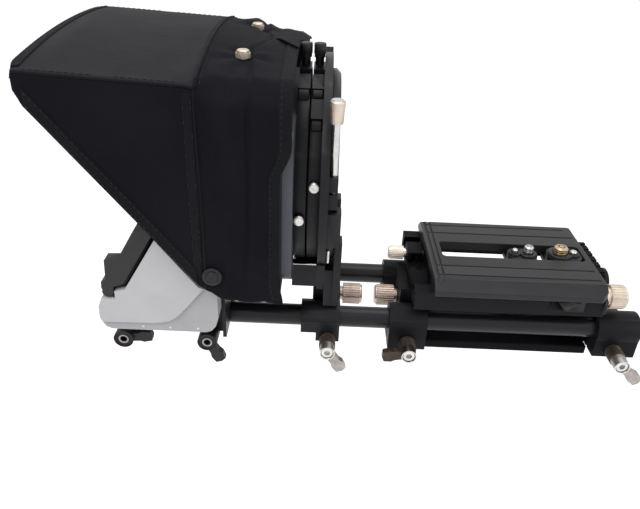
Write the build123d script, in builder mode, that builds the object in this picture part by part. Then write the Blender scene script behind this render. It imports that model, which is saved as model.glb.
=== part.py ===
from build123d import *
import os
from math import cos, sin, radians

os.makedirs("parts", exist_ok=True)

# A camera-mounted prompter on 15 mm rods: base and camera plate at the back, a round
# matte box stage in the middle, a prompter tub with mirror and fabric hood in front.
# +X runs from the talent (front) towards the camera (back), +Y to the operator's right,
# +Z up. The origin is the mouth of the 1/4 in tripod socket, under the base plate.
# Millimetres throughout. In names: _r radius, _hw half width, _t thickness, _w width,
# _x0 and _x1 the front and back ends along X.

# ================================================================ shared dimensions

rod_r = 7.5                 # 15 mm lightweight support rods
rod_y = 30.0                # half of the 60 mm rod spacing
rod_z = 22.0                # rod axis above the tripod face
rod_x0 = -236.0
rod_len = 356.0             # 14 in rods
rod_bore_r = 7.55           # running bore for a rod
rod_centres = ((-rod_y, rod_z), (rod_y, rod_z))

ear_r = 11.5                # half width of every rod sleeve
ear_inner_y = rod_y - ear_r
ear_outer_y = rod_y + ear_r
slit_w = 1.6                # clamp slit under each rod
slit_h, slit_z = 18, 7
web_w = 38                  # blocks that join a pair of sleeves
bore_cut = 40               # length of a cutter that runs through a clamp
cut_y = 50                  # half length of a cutter that runs across a clamp

bolt_r = 2.5                # M5 draw bolts
bolt_z = 10.5               # height of the draw bolts
prompter_bolt_z = 11.6      # the same under the prompter body
front_bolt_x, rear_bolt_x = -35.2, 110.0
foot_bolt_x = -91.3
prompter_front_bolt_x, prompter_rear_bolt_x = -231.5, -174.0

m2_r, m2_hole_r, m2_head_r, m2_head_h, m2_len = 0.98, 1.0, 1.9, 1.4, 6.8
m3_r, m3_tap_r, m3_clear_r, m3_cbore_r = 1.48, 1.5, 1.65, 3.0
m3_hole_r = 1.56            # running hole for an M3 screw or pin
m4_r, m4_tap_r, m4_clear_r, m4_cbore_r = 1.98, 2.05, 2.15, 3.8
m5_hole_r = 2.56
m6_hole_r = 3.06
pin_clearance = 0.06        # radial clearance of turning pins

base_t = 6.0
front_pedestal_x = -40
lower_screws = ((-27, -11), (-27, 11), (104, -11), (104, 11))   # base plate into clamps
upper_screws = ((-27, -9), (-27, 9), (91, -14), (91, 14))       # receiver into clamps

receiver_z0, receiver_z1 = 40.0, 54.0
receiver_x0, receiver_x1 = -34.0, 98.0
bridge_t = 6
bridge_top = receiver_z0 + bridge_t
front_lock_y, front_lock_z = 20.5, 47.5
rear_lock_y, rear_lock_z = -30, 48
plate_x0, plate_x1 = -22.0, 93.4
plate_top = 64.0
plate_hw = 49.0             # half width over the chamfered edges

stage_z = 124.0             # optical axis
stage_r = 63.0              # outside radius of a filter stage
stage_bore_r = 47.0
stage_opening_r = 44.0
carrier_r = 46.9            # outside radius of a rotating filter carrier
aperture_r = 41.0           # clear opening of a carrier
frame_x0, frame_x1 = -122.0, -116.0
stage1_x0, stage1_x1 = -116.0, -108.8
stage2_x0, stage2_x1 = -107.6, -100.6
rear_plate_x0, rear_plate_x1 = -100.6, -95.6
ring_x0, ring_x1 = -95.6, -90.3
foot_x0, foot_x1 = -110.3, -83.2
foot_top = 33
foot_screws = ((-91, -12), (-91, 12))                           # upright into foot
frame_screws = ((-66, 90), (66, 90), (-66, 160), (66, 160))     # y, z

hood_hw = 80.0              # half width of the fabric hood
cloth = 1.6                 # fabric thickness with its lining
hood_front_x, hood_rear_x = -263.5, -158.0
sleeve_x0, sleeve_x1 = -151.0, -117.0
front_arch = (199.0, 206.5)         # shoulder and crown heights of the hood's mouth
rear_arch = (195.6, 202.6)          # the same at its back end and on the sleeve
shoulder_r = 12.0           # round top corners of the shroud box
hood_screws = ((-146.5, -40), (-146.5, 40))
hem_x, hem_z = -171.6, 76.0         # lower corner of the slanted hem
hem_ux, hem_uz = -0.625, 0.7806     # direction up the slanted hem
# the slanted mirror plane: x up the slope, z out of the hood
hem_plane = Plane(origin=(hem_x, 0, hem_z), x_dir=(hem_ux, 0, hem_uz),
                  z_dir=(hem_uz, 0, -hem_ux))

tub_hw = 68.5               # half width of the body tub
tub_floor = 34.8            # top of its floor
tub_screws = ((-223, -13), (-223, 13), (-181, -13), (-181, 13))
mirror_ear_holes = ((-187.0, 74.0), (-193.5, 82.0))             # x, z
mirror_ear_y = 62.6         # inner face of the mirror frame's ears
flap_hinge = (-231.0, 61.0)         # x, z of the flap's hinge axis
hinge_pin_r = 1.5


# ================================================================ helpers

def write(builder, name):
    """Label a finished piece and write it as its own STEP file."""
    builder.part.label = name
    export_step(builder.part, "parts/" + name + ".step")


def plane_at_y(y):
    """XZ plane at y. It faces -Y, so a positive extrusion runs towards -Y."""
    return Plane.XZ.offset(-y)


def rod_bores_and_slits():
    """Draw both rod bores and the slits under them in the current YZ sketch."""
    with Locations(*rod_centres):
        Circle(rod_bore_r)
    with Locations((-rod_y, slit_z), (rod_y, slit_z)):
        Rectangle(slit_w, slit_h)


def arched_outline(half_w, arch, bottom_z, inset=0.0):
    """Draw straight sides and floor under an arched roof; inset moves sides and roof in."""
    half_w -= inset
    shoulder, crown = arch[0] - inset, arch[1] - inset
    ThreePointArc((-half_w, shoulder), (0, crown), (half_w, shoulder))
    Polyline((half_w, shoulder), (half_w, bottom_z), (-half_w, bottom_z), (-half_w, shoulder))


def thumb_screw(seat, head_r, head_len, collar_r, collar_len, shank_r, shank_len,
                flutes, flute_r):
    """Fluted head on a collar with a plain shank. seat's z points out of the head."""
    button_len = 1.6
    button_seat = collar_len + head_len - button_len
    with BuildPart() as screw:
        with BuildSketch(seat):
            Circle(shank_r)
        extrude(amount=-shank_len)
        with BuildSketch(seat):
            Circle(collar_r)
        extrude(amount=collar_len)
        with BuildSketch(seat.offset(collar_len)):
            Circle(head_r)
            with PolarLocations(head_r, flutes):
                Circle(flute_r, mode=Mode.SUBTRACT)
        extrude(amount=head_len - button_len)
        with BuildSketch(seat.offset(button_seat)):
            Circle(head_r - flute_r - 0.2)
        extrude(amount=button_len)
        outward = Axis((0, 0, 0), tuple(seat.z_dir))
        chamfer(screw.faces().sort_by(outward)[-1].edges(), length=0.6)
    return screw


# ================================================================ rods and base

# two identical rods with a threaded hole in each end
rod_thread_r = 5.1          # M12 tap drill
rod_thread_len = 16.0
with BuildPart() as rods:
    with BuildSketch(Plane.YZ.offset(rod_x0)):
        with Locations(*rod_centres):
            Circle(rod_r)
    extrude(amount=rod_len)
    chamfer(rods.edges().filter_by(GeomType.CIRCLE), length=0.8)
    for x, depth in ((rod_x0, rod_thread_len), (rod_x0 + rod_len, -rod_thread_len)):
        with BuildSketch(Plane.YZ.offset(x)):
            with Locations(*rod_centres):
                Circle(rod_thread_r)
        extrude(amount=depth, mode=Mode.SUBTRACT)
write(rods, "support_rods")

# flat plate between the clamps, with tongues under them and the tripod sockets
quarter_tap_r = 2.55        # 1/4-20 tap drill
three_eighth_tap_r = 4.0    # 3/8-16 tap drill
with BuildPart() as base_plate:
    with BuildSketch(Plane.XY):
        with Locations((37.4, 0)):
            RectangleRounded(117.8, 66, 2)
        with Locations((39, 0)):
            Rectangle(156, 36.4)
    extrude(amount=base_t)
    top_face = base_plate.faces().sort_by(Axis.Z)[-1]
    chamfer(top_face.edges().filter_by(Axis.X), length=0.8)
    with Locations((0, 0, base_t), (60, 0, base_t)):
        Hole(quarter_tap_r, depth=base_t)
    with Locations((30, 0, base_t)):
        Hole(three_eighth_tap_r, depth=base_t)
    # counterbored from below for the clamp screws
    with Locations(*[Plane((x, y, 0), z_dir=(0, 0, -1)) for x, y in lower_screws]):
        CounterBoreHole(m4_clear_r, m4_cbore_r, 3.4, depth=base_t)
write(base_plate, "base_plate")


def base_clamp(x0, x1, top_r, block_h, webs, bolt_x, screws_below, screws_above,
               has_lock_hole=False):
    """Two slit sleeves joined by webs, each web given as (x0, length, top)."""
    with BuildPart() as clamp:
        with BuildSketch(Plane.YZ.offset(x0)):
            with Locations(*rod_centres):
                Circle(top_r)
            block_z = rod_z - block_h / 2
            with Locations((-rod_y, block_z), (rod_y, block_z)):
                Rectangle(2 * ear_r, block_h)
        extrude(amount=x1 - x0)
        for web_x, web_len, web_top in webs:
            with BuildSketch(Plane.YZ.offset(web_x)):
                with Locations((0, (base_t + web_top) / 2)):
                    Rectangle(web_w, web_top - base_t)
            extrude(amount=web_len)
        with BuildSketch(Plane.YZ.offset(x0 - 1)):
            rod_bores_and_slits()
        extrude(amount=bore_cut, mode=Mode.SUBTRACT)
        with BuildSketch(plane_at_y(cut_y)):
            with Locations((bolt_x, bolt_z)):
                Circle(m5_hole_r)
        extrude(amount=2 * cut_y, mode=Mode.SUBTRACT)
        with Locations(*[(x, y, base_t) for x, y in screws_below]):
            Cylinder(2.0, 10, align=(Align.CENTER, Align.CENTER, Align.MIN),
                     mode=Mode.SUBTRACT)
        with Locations(*[(x, y, receiver_z0) for x, y in screws_above]):
            Cylinder(m4_tap_r, 12, align=(Align.CENTER, Align.CENTER, Align.MAX),
                     mode=Mode.SUBTRACT)
        if has_lock_hole:
            with BuildSketch(Plane.YZ.offset(front_pedestal_x)):
                with Locations((0, rod_z)):
                    Circle(m6_hole_r)
            extrude(amount=15, mode=Mode.SUBTRACT)
    return clamp


write(base_clamp(x0=-48.5, x1=-22.0, top_r=ear_r, block_h=18,
                 webs=((front_pedestal_x, 24, receiver_z0),),
                 bolt_x=front_bolt_x, screws_below=lower_screws[:2],
                 screws_above=upper_screws[:2], has_lock_hole=True), "front_rod_clamp")
write(base_clamp(x0=97.0, x1=126.5, top_r=12.2, block_h=17.5,
                 webs=((97, 22, 28), (87, 16, receiver_z0)),
                 bolt_x=rear_bolt_x, screws_below=lower_screws[2:],
                 screws_above=upper_screws[2:]), "rear_rod_clamp")

# dovetail receiver: two undercut rails on two bridges, open between them
with BuildPart() as plate_receiver:
    for side in (-1, 1):
        with BuildSketch(Plane.YZ.offset(receiver_x0)):
            with BuildLine():
                Polyline((side * 34.05, receiver_z1), (side * 37.05, bridge_top),
                         (side * 37.05, receiver_z0), (side * 44, receiver_z0),
                         (side * 44, receiver_z1), (side * 34.05, receiver_z1))
            make_face()
        extrude(amount=95.0 - receiver_x0)
    rear_bridge_x0 = 85
    with BuildSketch(Plane.XY.offset(receiver_z0)):
        with Locations((-26, 0)):
            Rectangle(16, 76)
        with Locations(((rear_bridge_x0 + receiver_x1) / 2, 0)):
            Rectangle(receiver_x1 - rear_bridge_x0, 76)
    extrude(amount=bridge_t)
    # boss for the front plate lock
    with BuildSketch(Plane.XY.offset(receiver_z0)):
        with Locations((-28, 18)):
            Rectangle(11, 17)
    extrude(amount=13.8)
    # sloping boss on the left of the channel
    with BuildSketch(Plane.YZ.offset(-33.5)):
        with BuildLine():
            Polyline((-9.5, 44), (-9.5, 53), (-26.4, 49), (-26.4, 44), (-9.5, 44))
        make_face()
    extrude(amount=11)
    # end stop behind the plate, with a taller notched block
    with BuildSketch(Plane.XY.offset(receiver_z0)):
        with Locations((96.2, -6)):
            Rectangle(3.6, 60)
    extrude(amount=receiver_z1 - receiver_z0)
    with BuildSketch(Plane.XY.offset(bridge_top)):
        with Locations((97.3, 1.5)):
            Rectangle(5.8, 45)
    extrude(amount=15)
    with BuildSketch(Plane.YZ.offset(94)):
        with Locations(*[(y, 61) for y in range(-20, 21, 8)]):
            Rectangle(2, 2)
    extrude(amount=8, mode=Mode.SUBTRACT)
    # screws down into the clamps
    receiver_cbore = 3.2
    with Locations(*[(x, y, bridge_top) for x, y in upper_screws]):
        CounterBoreHole(m4_clear_r, m4_cbore_r, receiver_cbore, depth=7)
    # plate lock screws, one at each end
    with BuildSketch(Plane.YZ.offset(receiver_x0)):
        with Locations((front_lock_y, front_lock_z)):
            Circle(m5_hole_r)
    extrude(amount=14, mode=Mode.SUBTRACT)
    with BuildSketch(Plane.YZ.offset(receiver_x1)):
        with Locations((rear_lock_y, rear_lock_z)):
            Circle(m6_hole_r)
    extrude(amount=-7, mode=Mode.SUBTRACT)
write(plate_receiver, "plate_receiver")

# eight identical M4 socket screws: four up into the clamps, four down through the receiver
m4_head_r, m4_head_h = 3.5, 3.0
base_screw_seats = ([(x, y, 3.3, 1) for x, y in lower_screws]
                    + [(x, y, bridge_top - receiver_cbore, -1) for x, y in upper_screws])
with BuildPart() as base_screws:
    for x, y, z, up in base_screw_seats:
        with BuildSketch(Plane((x, y, z), z_dir=(0, 0, up))):
            Circle(m4_r)
        extrude(amount=11.5)
        with BuildSketch(Plane((x, y, z), z_dir=(0, 0, up))):
            Circle(m4_head_r)
        extrude(amount=-m4_head_h)
        with BuildSketch(Plane((x, y, z - m4_head_h * up), z_dir=(0, 0, up))):
            RegularPolygon(1.6, 6)
        extrude(amount=1.8, mode=Mode.SUBTRACT)
write(base_screws, "base_screws")

# ================================================================ camera plate

# sliding plate with dovetail tongues, slot and anti-slip grooves
slot_x0, slot_x1 = -12.0, 89.4
slot_w = 21.0
groove_w, groove_depth = 1.3, 0.9
plate_section = (           # y, z
    (-41, plate_top), (-plate_hw, 58), (-plate_hw, 54.3), (-33.7, 54.3), (-36.6, 46.4),
    (-27, 46.4), (-27, 57), (27, 57), (27, 46.4), (36.6, 46.4), (33.7, 54.3),
    (plate_hw, 54.3), (plate_hw, 58), (41, plate_top),
)
with BuildPart() as camera_plate:
    with BuildSketch(Plane.YZ.offset(plate_x0)):
        with BuildLine():
            Polyline(*plate_section, plate_section[0])
        make_face()
    extrude(amount=plate_x1 - plate_x0)
    # the two rear corners
    for corner, size in ((-1, 9), (0, 4)):
        upright_edges = camera_plate.edges().filter_by(Axis.Z)
        chamfer(upright_edges.group_by(Axis.X)[-1].sort_by(Axis.Y)[corner], length=size)
    with BuildSketch(Plane.XY.offset(plate_top)):
        with Locations(((slot_x0 + slot_x1) / 2, 0)):
            RectangleRounded(slot_x1 - slot_x0, slot_w, 3)
    extrude(amount=-12, mode=Mode.SUBTRACT)
    # lengthwise grooves, and two across the front end
    with BuildSketch(Plane.XY.offset(plate_top)):
        with Locations((35.7, -36), (35.7, -24), (35.7, 24)):
            Rectangle(109.4, groove_w)
        with Locations((33.7, 36)):
            Rectangle(105.4, groove_w)
        with Locations((-19, 0), (-15.5, 0)):
            Rectangle(groove_w, 82)
    extrude(amount=-groove_depth, mode=Mode.SUBTRACT)
write(camera_plate, "camera_plate")

rear_screw_x, rear_screw_r = 74, 4.5
rear_pin_x, rear_pin_r = 83.5, 2.5
front_screw_x, front_screw_r = 51, 2.95
front_pin_x, front_pin_r = 41.3, 2.0
carriage_z = 54.4
screw_head_top = 54.2


def screw_carriage(x, flange_len, body_len, body_w, corner_r, body_h, screw, pin):
    """Slider that holds a camera screw and a pin in the slot; screw and pin are (x, radius)."""
    with BuildPart() as carriage:
        with BuildSketch(Plane.XY.offset(carriage_z)):
            with Locations((x, 0)):
                RectangleRounded(flange_len, 25, 2)
        extrude(amount=2.5)
        with BuildSketch(Plane.XY.offset(carriage_z)):
            with Locations((x, 0)):
                RectangleRounded(body_len, body_w, corner_r)
        extrude(amount=body_h)
        with BuildSketch(Plane.XY.offset(66)):
            for hole_x, shaft_r in (screw, pin):
                with Locations((hole_x, 0)):
                    Circle(shaft_r + pin_clearance)
        extrude(amount=-16, mode=Mode.SUBTRACT)
    return carriage


def camera_screw(x, head_r, head_h, neck_r, stud_r, stud_len, tip_chamfer,
                 slot_len, coin_slot):
    """Coin-slotted head under the carriage, stud above the plate; coin_slot is width and depth."""
    head_z = screw_head_top - head_h
    with BuildPart() as screw:
        with BuildSketch(Plane.XY.offset(head_z)):
            with Locations((x, 0)):
                Circle(head_r)
        extrude(amount=head_h)
        with BuildSketch(Plane.XY.offset(screw_head_top)):
            with Locations((x, 0)):
                Circle(neck_r)
        extrude(amount=plate_top + stud_len - screw_head_top)
        with BuildSketch(Plane.XY.offset(plate_top)):
            with Locations((x, 0)):
                Circle(stud_r)
        extrude(amount=stud_len)
        chamfer(screw.faces().sort_by(Axis.Z)[-1].edges(), length=tip_chamfer)
        with BuildSketch(Plane.XY.offset(head_z)):
            with Locations((x, 0)):
                Rectangle(slot_len, coin_slot)
        extrude(amount=coin_slot, mode=Mode.SUBTRACT)
    return screw


def locating_pin(x, z, radius, length, tip_r):
    """Upright pin with a rounded tip."""
    with BuildPart() as pin:
        with BuildSketch(Plane.XY.offset(z)):
            with Locations((x, 0)):
                Circle(radius)
        extrude(amount=length)
        fillet(pin.faces().sort_by(Axis.Z)[-1].edges(), radius=tip_r)
    return pin


write(screw_carriage(x=77, flange_len=25, body_len=24.6, body_w=20.6, corner_r=9, body_h=8.6,
                     screw=(rear_screw_x, rear_screw_r), pin=(rear_pin_x, rear_pin_r)),
      "rear_screw_carriage")
write(screw_carriage(x=47, flange_len=21, body_len=21, body_w=18, corner_r=8, body_h=7.6,
                     screw=(front_screw_x, front_screw_r), pin=(front_pin_x, front_pin_r)),
      "front_screw_carriage")
write(camera_screw(rear_screw_x, head_r=8.0, head_h=4.0, neck_r=rear_screw_r, stud_r=4.76,
                   stud_len=5.5, tip_chamfer=1.2, slot_len=17, coin_slot=1.6),
      "rear_camera_screw")
write(camera_screw(front_screw_x, head_r=7.0, head_h=3.6, neck_r=front_screw_r, stud_r=3.175,
                   stud_len=4.8, tip_chamfer=0.9, slot_len=15, coin_slot=1.4),
      "front_camera_screw")
write(locating_pin(rear_pin_x, z=57.6, radius=rear_pin_r, length=8.7, tip_r=1.2),
      "rear_locating_pin")
write(locating_pin(front_pin_x, z=56.4, radius=front_pin_r, length=9.6, tip_r=1.0),
      "front_locating_pin")

# ================================================================ lock knobs

# the camera plate's locks, at the front of the receiver and behind its end stop
front_lock_seat = Plane((receiver_x0 - 0.2, front_lock_y, front_lock_z), z_dir=(-1, 0, 0))
write(thumb_screw(front_lock_seat, head_r=5.2, head_len=11.5, collar_r=3.6, collar_len=1.6,
                  shank_r=2.5, shank_len=13.4, flutes=20, flute_r=0.5),
      "front_plate_lock_knob")
rear_lock_seat = Plane((receiver_x1 + 0.3, rear_lock_y, rear_lock_z), z_dir=(1, 0, 0))
write(thumb_screw(rear_lock_seat, head_r=8.6, head_len=11.5, collar_r=7.0, collar_len=3.0,
                  shank_r=3.0, shank_len=4.3, flutes=28, flute_r=0.6),
      "rear_plate_lock_knob")

# two alike: in front of the base's pedestal and behind the matte box foot
for name, x, facing in (("base_lock_knob", front_pedestal_x - 0.3, -1),
                        ("foot_lock_knob", foot_x1 + 0.3, 1)):
    write(thumb_screw(Plane((x, 0, rod_z), z_dir=(facing, 0, 0)), head_r=7.8, head_len=14.2,
                      collar_r=5.0, collar_len=2.4, shank_r=3.0, shank_len=14.0,
                      flutes=26, flute_r=0.6), name)

# ================================================================ ratchet clamp levers

lever_inner_y = -41.7       # inner end of every hub
neck_r = 3.05               # toothed neck of a draw bolt
socket_depth = 5.4          # the bolt head's seat below the hub's outer end
# x, z, outer end y, hub radius, reach, angle (degrees from +X towards +Z), arm width
lever_specs = {
    "base_front": (front_bolt_x, bolt_z, -58.5, 5.2, 17.5, 188, 9.0),
    "base_rear": (rear_bolt_x, bolt_z, -60.5, 5.2, 20.5, -43, 9.0),
    "foot": (foot_bolt_x, bolt_z, -58.5, 5.2, 18.5, -56, 9.0),
    "prompter_front": (prompter_front_bolt_x, prompter_bolt_z, -53.5, 6.8, 19.0, 6, 8.5),
    "prompter_rear": (prompter_rear_bolt_x, prompter_bolt_z, -53.5, 6.8, 18.5, -62, 9.0),
}


def lever_arm(x, z, outer_y, hub_r, reach, angle, arm_w):
    """Hub along Y with a paddle pointing at angle."""
    along = (cos(radians(angle)), 0, sin(radians(angle)))
    middle = Plane(origin=(x, 0, z), x_dir=along, z_dir=(0, -1, 0))
    hub_len = lever_inner_y - outer_y
    # one edge of the paddle, from hub to tip: distance along the arm, half width
    paddle_edge = ((0, hub_r * 0.8), (hub_r * 0.9, arm_w * 0.36), (reach * 0.55, arm_w * 0.38),
                   (reach * 0.72, arm_w * 0.5), (reach, arm_w * 0.42))
    other_edge = [(u, -v) for u, v in reversed(paddle_edge)]
    with BuildPart() as arm:
        with BuildSketch(middle.offset(-lever_inner_y)):
            Circle(hub_r)
        extrude(amount=hub_len)
        with BuildSketch(middle.offset(-(outer_y + 6.2))):
            with BuildLine():
                Polyline(*paddle_edge, (reach + 1.0, 0), *other_edge, paddle_edge[0])
            make_face()
        extrude(amount=4.6)
        with BuildSketch(middle.offset(-lever_inner_y)):
            Circle(3.15)
        extrude(amount=hub_len, mode=Mode.SUBTRACT)
        with BuildSketch(middle.offset(-outer_y)):
            Circle(hub_r - 1.0)
        extrude(amount=-5.7, mode=Mode.SUBTRACT)
    return arm


for name, spec in lever_specs.items():
    write(lever_arm(*spec), name + "_lever")

# draw bolts: socket head in the lever's hub, toothed neck, long shank into the far ear
bolt_end_y = 41.0
for name, levers in (("base_draw_bolts", ("base_front", "base_rear")),
                     ("foot_draw_bolt", ("foot",)),
                     ("prompter_draw_bolts", ("prompter_front", "prompter_rear"))):
    with BuildPart() as bolts:
        for lever in levers:
            x, z, outer_y, hub_r = lever_specs[lever][:4]
            with BuildSketch(plane_at_y(bolt_end_y)):
                with Locations((x, z)):
                    Circle(bolt_r)
            extrude(amount=bolt_end_y - lever_inner_y)
            with BuildSketch(plane_at_y(lever_inner_y)):
                with Locations((x, z)):
                    Circle(neck_r)
                    with PolarLocations(neck_r, 12):
                        Circle(0.3, mode=Mode.SUBTRACT)
            extrude(amount=lever_inner_y - outer_y - socket_depth)
            with BuildSketch(plane_at_y(outer_y + socket_depth)):
                with Locations((x, z)):
                    Circle(hub_r - 1.2)
            extrude(amount=4.9)
            with BuildSketch(plane_at_y(outer_y + 0.5)):
                with Locations((x, z)):
                    RegularPolygon(2.2, 6)
            extrude(amount=-3.0, mode=Mode.SUBTRACT)
    write(bolts, name)

# ================================================================ matte box stage

# foot that rides on the rods and carries the stages
foot_web_x0 = -102.8
with BuildPart() as stage_foot:
    # long sleeve on the lever's side (left), shorter one on the right
    for y, x0 in ((-rod_y, foot_x0), (rod_y, -101.5)):
        with BuildSketch(Plane.YZ.offset(x0)):
            with Locations((y, rod_z)):
                Circle(ear_r)
            with Locations((y, rod_z - 2.5)):
                Rectangle(2 * ear_r, 9)
        extrude(amount=foot_x1 - x0)
    # ears round the draw bolt
    for y in (-ear_outer_y, ear_inner_y):
        with BuildSketch(plane_at_y(y)):
            with Locations((-91.4, 16)):
                Rectangle(16.4, 16)
            with Locations((foot_bolt_x, bolt_z)):
                Circle(6.4)
        extrude(amount=-2 * ear_r)
    with BuildSketch(Plane.YZ.offset(foot_web_x0)):
        with Locations((0, rod_z)):
            Rectangle(web_w, 22)
    extrude(amount=foot_x1 - foot_web_x0)
    with BuildSketch(Plane.YZ.offset(foot_x0 - 1)):
        rod_bores_and_slits()
    extrude(amount=bore_cut, mode=Mode.SUBTRACT)
    with BuildSketch(plane_at_y(cut_y)):
        with Locations((foot_bolt_x, bolt_z)):
            Circle(m5_hole_r)
    extrude(amount=2 * cut_y, mode=Mode.SUBTRACT)
    with BuildSketch(Plane.YZ.offset(foot_x1)):
        with Locations((0, rod_z)):
            Circle(m6_hole_r)
    extrude(amount=-15, mode=Mode.SUBTRACT)
    with Locations(*[(x, y, foot_top) for x, y in foot_screws]):
        Cylinder(m3_tap_r, 10, align=(Align.CENTER, Align.CENTER, Align.MAX),
                 mode=Mode.SUBTRACT)
write(stage_foot, "matte_box_foot")

# two-post upright bolted to the foot, holding the rear plate
upright_base_t = 5
upright_base_top = foot_top + upright_base_t
column_x0, column_t = -89.9, 5.2
column_x1 = column_x0 + column_t
post_screws = ((-28, 54), (28, 54))         # y, z
base_cbore, post_cbore = 2.6, 8.3
column_outline = (                          # y, z of the left column
    (-37, 34.8), (-20, 34.8), (-20, 70), (-28, 86), (-40, 86), (-38.5, 70),
)
with BuildPart() as upright:
    with BuildSketch(Plane.XY.offset(foot_top)):
        with Locations((-93.0, 0)):
            Rectangle(19.4, 46)
    extrude(amount=upright_base_t)
    # columns, behind the clamp ring
    with BuildSketch(Plane.YZ.offset(column_x0)):
        with BuildLine():
            Polyline(*column_outline, column_outline[0])
        make_face()
        mirror(about=Plane.YZ)
    extrude(amount=column_t)
    # their deeper lower parts reach forward to the rear plate, under the ring
    with BuildSketch(Plane.YZ.offset(rear_plate_x1)):
        with Locations((-28.5, 49.3), (28.5, 49.3)):
            Rectangle(17, 29)
    extrude(amount=6)
    with Locations(*[(x, y, upright_base_top) for x, y in foot_screws]):
        CounterBoreHole(m3_clear_r, m3_cbore_r, base_cbore, depth=upright_base_t)
    with Locations(*[Plane((column_x1, y, z), z_dir=(1, 0, 0)) for y, z in post_screws]):
        CounterBoreHole(m3_clear_r, m3_cbore_r, post_cbore, depth=11)
write(upright, "stage_upright")

# eight identical M3 socket screws of the stage: seat of the head, way the head points
m3_head_h = 2.6
stage_screw_seats = (
    [((x, y, upright_base_top - base_cbore), (0, 0, 1)) for x, y in foot_screws]
    + [((column_x1 - post_cbore, y, z), (1, 0, 0)) for y, z in post_screws]
    + [((-123.6, y, z), (-1, 0, 0)) for y, z in frame_screws])
with BuildPart() as stage_screws:
    for seat, outward in stage_screw_seats:
        with BuildSketch(Plane(seat, z_dir=outward)):
            Circle(m3_r)
        extrude(amount=-6.4)
        with BuildSketch(Plane(seat, z_dir=outward)):
            Circle(2.75)
        extrude(amount=m3_head_h)
        with BuildSketch(Plane(seat, z_dir=outward).offset(m3_head_h)):
            RegularPolygon(1.3, 6)
        extrude(amount=-1.5, mode=Mode.SUBTRACT)
write(stage_screws, "stage_screws")

# round-topped rear plate with a flat foot
cradle_x0 = -117.0
bracket_outline = (         # y, z
    (-66.9, 121), (-58, 121), (-50, 112), (-50, 100), (-58, 94), (-66.9, 98),
)
with BuildPart() as rear_plate:
    with BuildSketch(Plane.YZ.offset(rear_plate_x0)):
        with Locations((0, stage_z)):
            Circle(72.6)
        # oblique block on the rim, upper right
        with Locations((36.4, stage_z + 63.1)):
            Rectangle(12, 10, rotation=-30)
        with Locations((0, 74)):
            Rectangle(120, 14)
        # trim the disc's bottom, then add the narrower foot
        with Locations((0, 44)):
            Rectangle(160, 48, mode=Mode.SUBTRACT)
        with Locations((0, 58)):
            Rectangle(72, 20)
        with Locations((0, stage_z)):
            Circle(stage_bore_r, mode=Mode.SUBTRACT)
    extrude(amount=rear_plate_x1 - rear_plate_x0)
    with BuildSketch(Plane.YZ.offset(rear_plate_x1)):
        with Locations(*post_screws):
            Circle(m3_tap_r)
    extrude(amount=-5, mode=Mode.SUBTRACT)
    # cradle under the two filter stages
    with BuildSketch(Plane.YZ.offset(cradle_x0)):
        with Locations((0, 62.5)):
            Rectangle(84, 17)
        with Locations((0, stage_z)):
            Circle(stage_r + 0.8, mode=Mode.SUBTRACT)
    extrude(amount=rear_plate_x0 - cradle_x0)
    # bracket that reaches over the ring below its lugs
    with BuildSketch(Plane.YZ.offset(ring_x1 + 0.2)):
        with BuildLine():
            Polyline(*bracket_outline, bracket_outline[0])
        make_face()
    extrude(amount=2.6)
    with BuildSketch(Plane.YZ.offset(rear_plate_x1)):
        with Locations((-65.1, 109)):
            Rectangle(3.6, 22)
    extrude(amount=7.0)
write(rear_plate, "rear_plate")


def filter_stage(x0, x1, lock_z, is_rear):
    """Fixed ring with bosses on its rim and a step that holds the carrier."""
    middle_x = (x0 + x1) / 2
    with BuildPart() as stage:
        with BuildSketch(Plane.YZ.offset(x0)):
            with Locations((0, stage_z)):
                Circle(stage_r)
            with Locations((0, stage_z + stage_r)):
                Rectangle(20, 6)
            with Locations((-22.4, stage_z + 58.4)):
                Rectangle(14, 8.5, rotation=21)
            if is_rear:
                with Locations((-40.6, stage_z + 48.4)):
                    Rectangle(13, 8.5, rotation=40)
            with Locations((0, stage_z)):
                Circle(stage_opening_r, mode=Mode.SUBTRACT)
        extrude(amount=x1 - x0)
        if is_rear:
            # land that spaces the two stages
            with BuildSketch(Plane.YZ.offset(stage1_x1)):
                with Locations((0, stage_z)):
                    Circle(52.0)
                    Circle(47.4, mode=Mode.SUBTRACT)
            extrude(amount=stage2_x0 - stage1_x1)
        with BuildSketch(Plane.YZ.offset(x0)):
            with Locations((0, stage_z)):
                Circle(stage_bore_r)
        extrude(amount=4.9, mode=Mode.SUBTRACT)
        # lock pin hole, from the left side into the carrier's seat
        with BuildSketch(plane_at_y(-40)):
            with Locations((middle_x, lock_z)):
                Circle(m3_hole_r)
        extrude(amount=30, mode=Mode.SUBTRACT)
        # top lock screw hole
        with BuildSketch(Plane.XY.offset(stage_z + 45)):
            with Locations((middle_x, 0)):
                Circle(m3_hole_r)
        extrude(amount=25, mode=Mode.SUBTRACT)
    return stage


def filter_carrier(x0):
    """Ring in the stage's step, with a round recess inside it for the filter."""
    with BuildPart() as carrier:
        with BuildSketch(Plane.YZ.offset(x0 + 0.1)):
            with Locations((0, stage_z)):
                Circle(carrier_r)
                Circle(aperture_r, mode=Mode.SUBTRACT)
        extrude(amount=4.6)
        with BuildSketch(Plane.YZ.offset(x0 + 1.6)):
            with Locations((0, stage_z)):
                Circle(carrier_r - 1.6)
        extrude(amount=1.8, mode=Mode.SUBTRACT)
    return carrier


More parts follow.
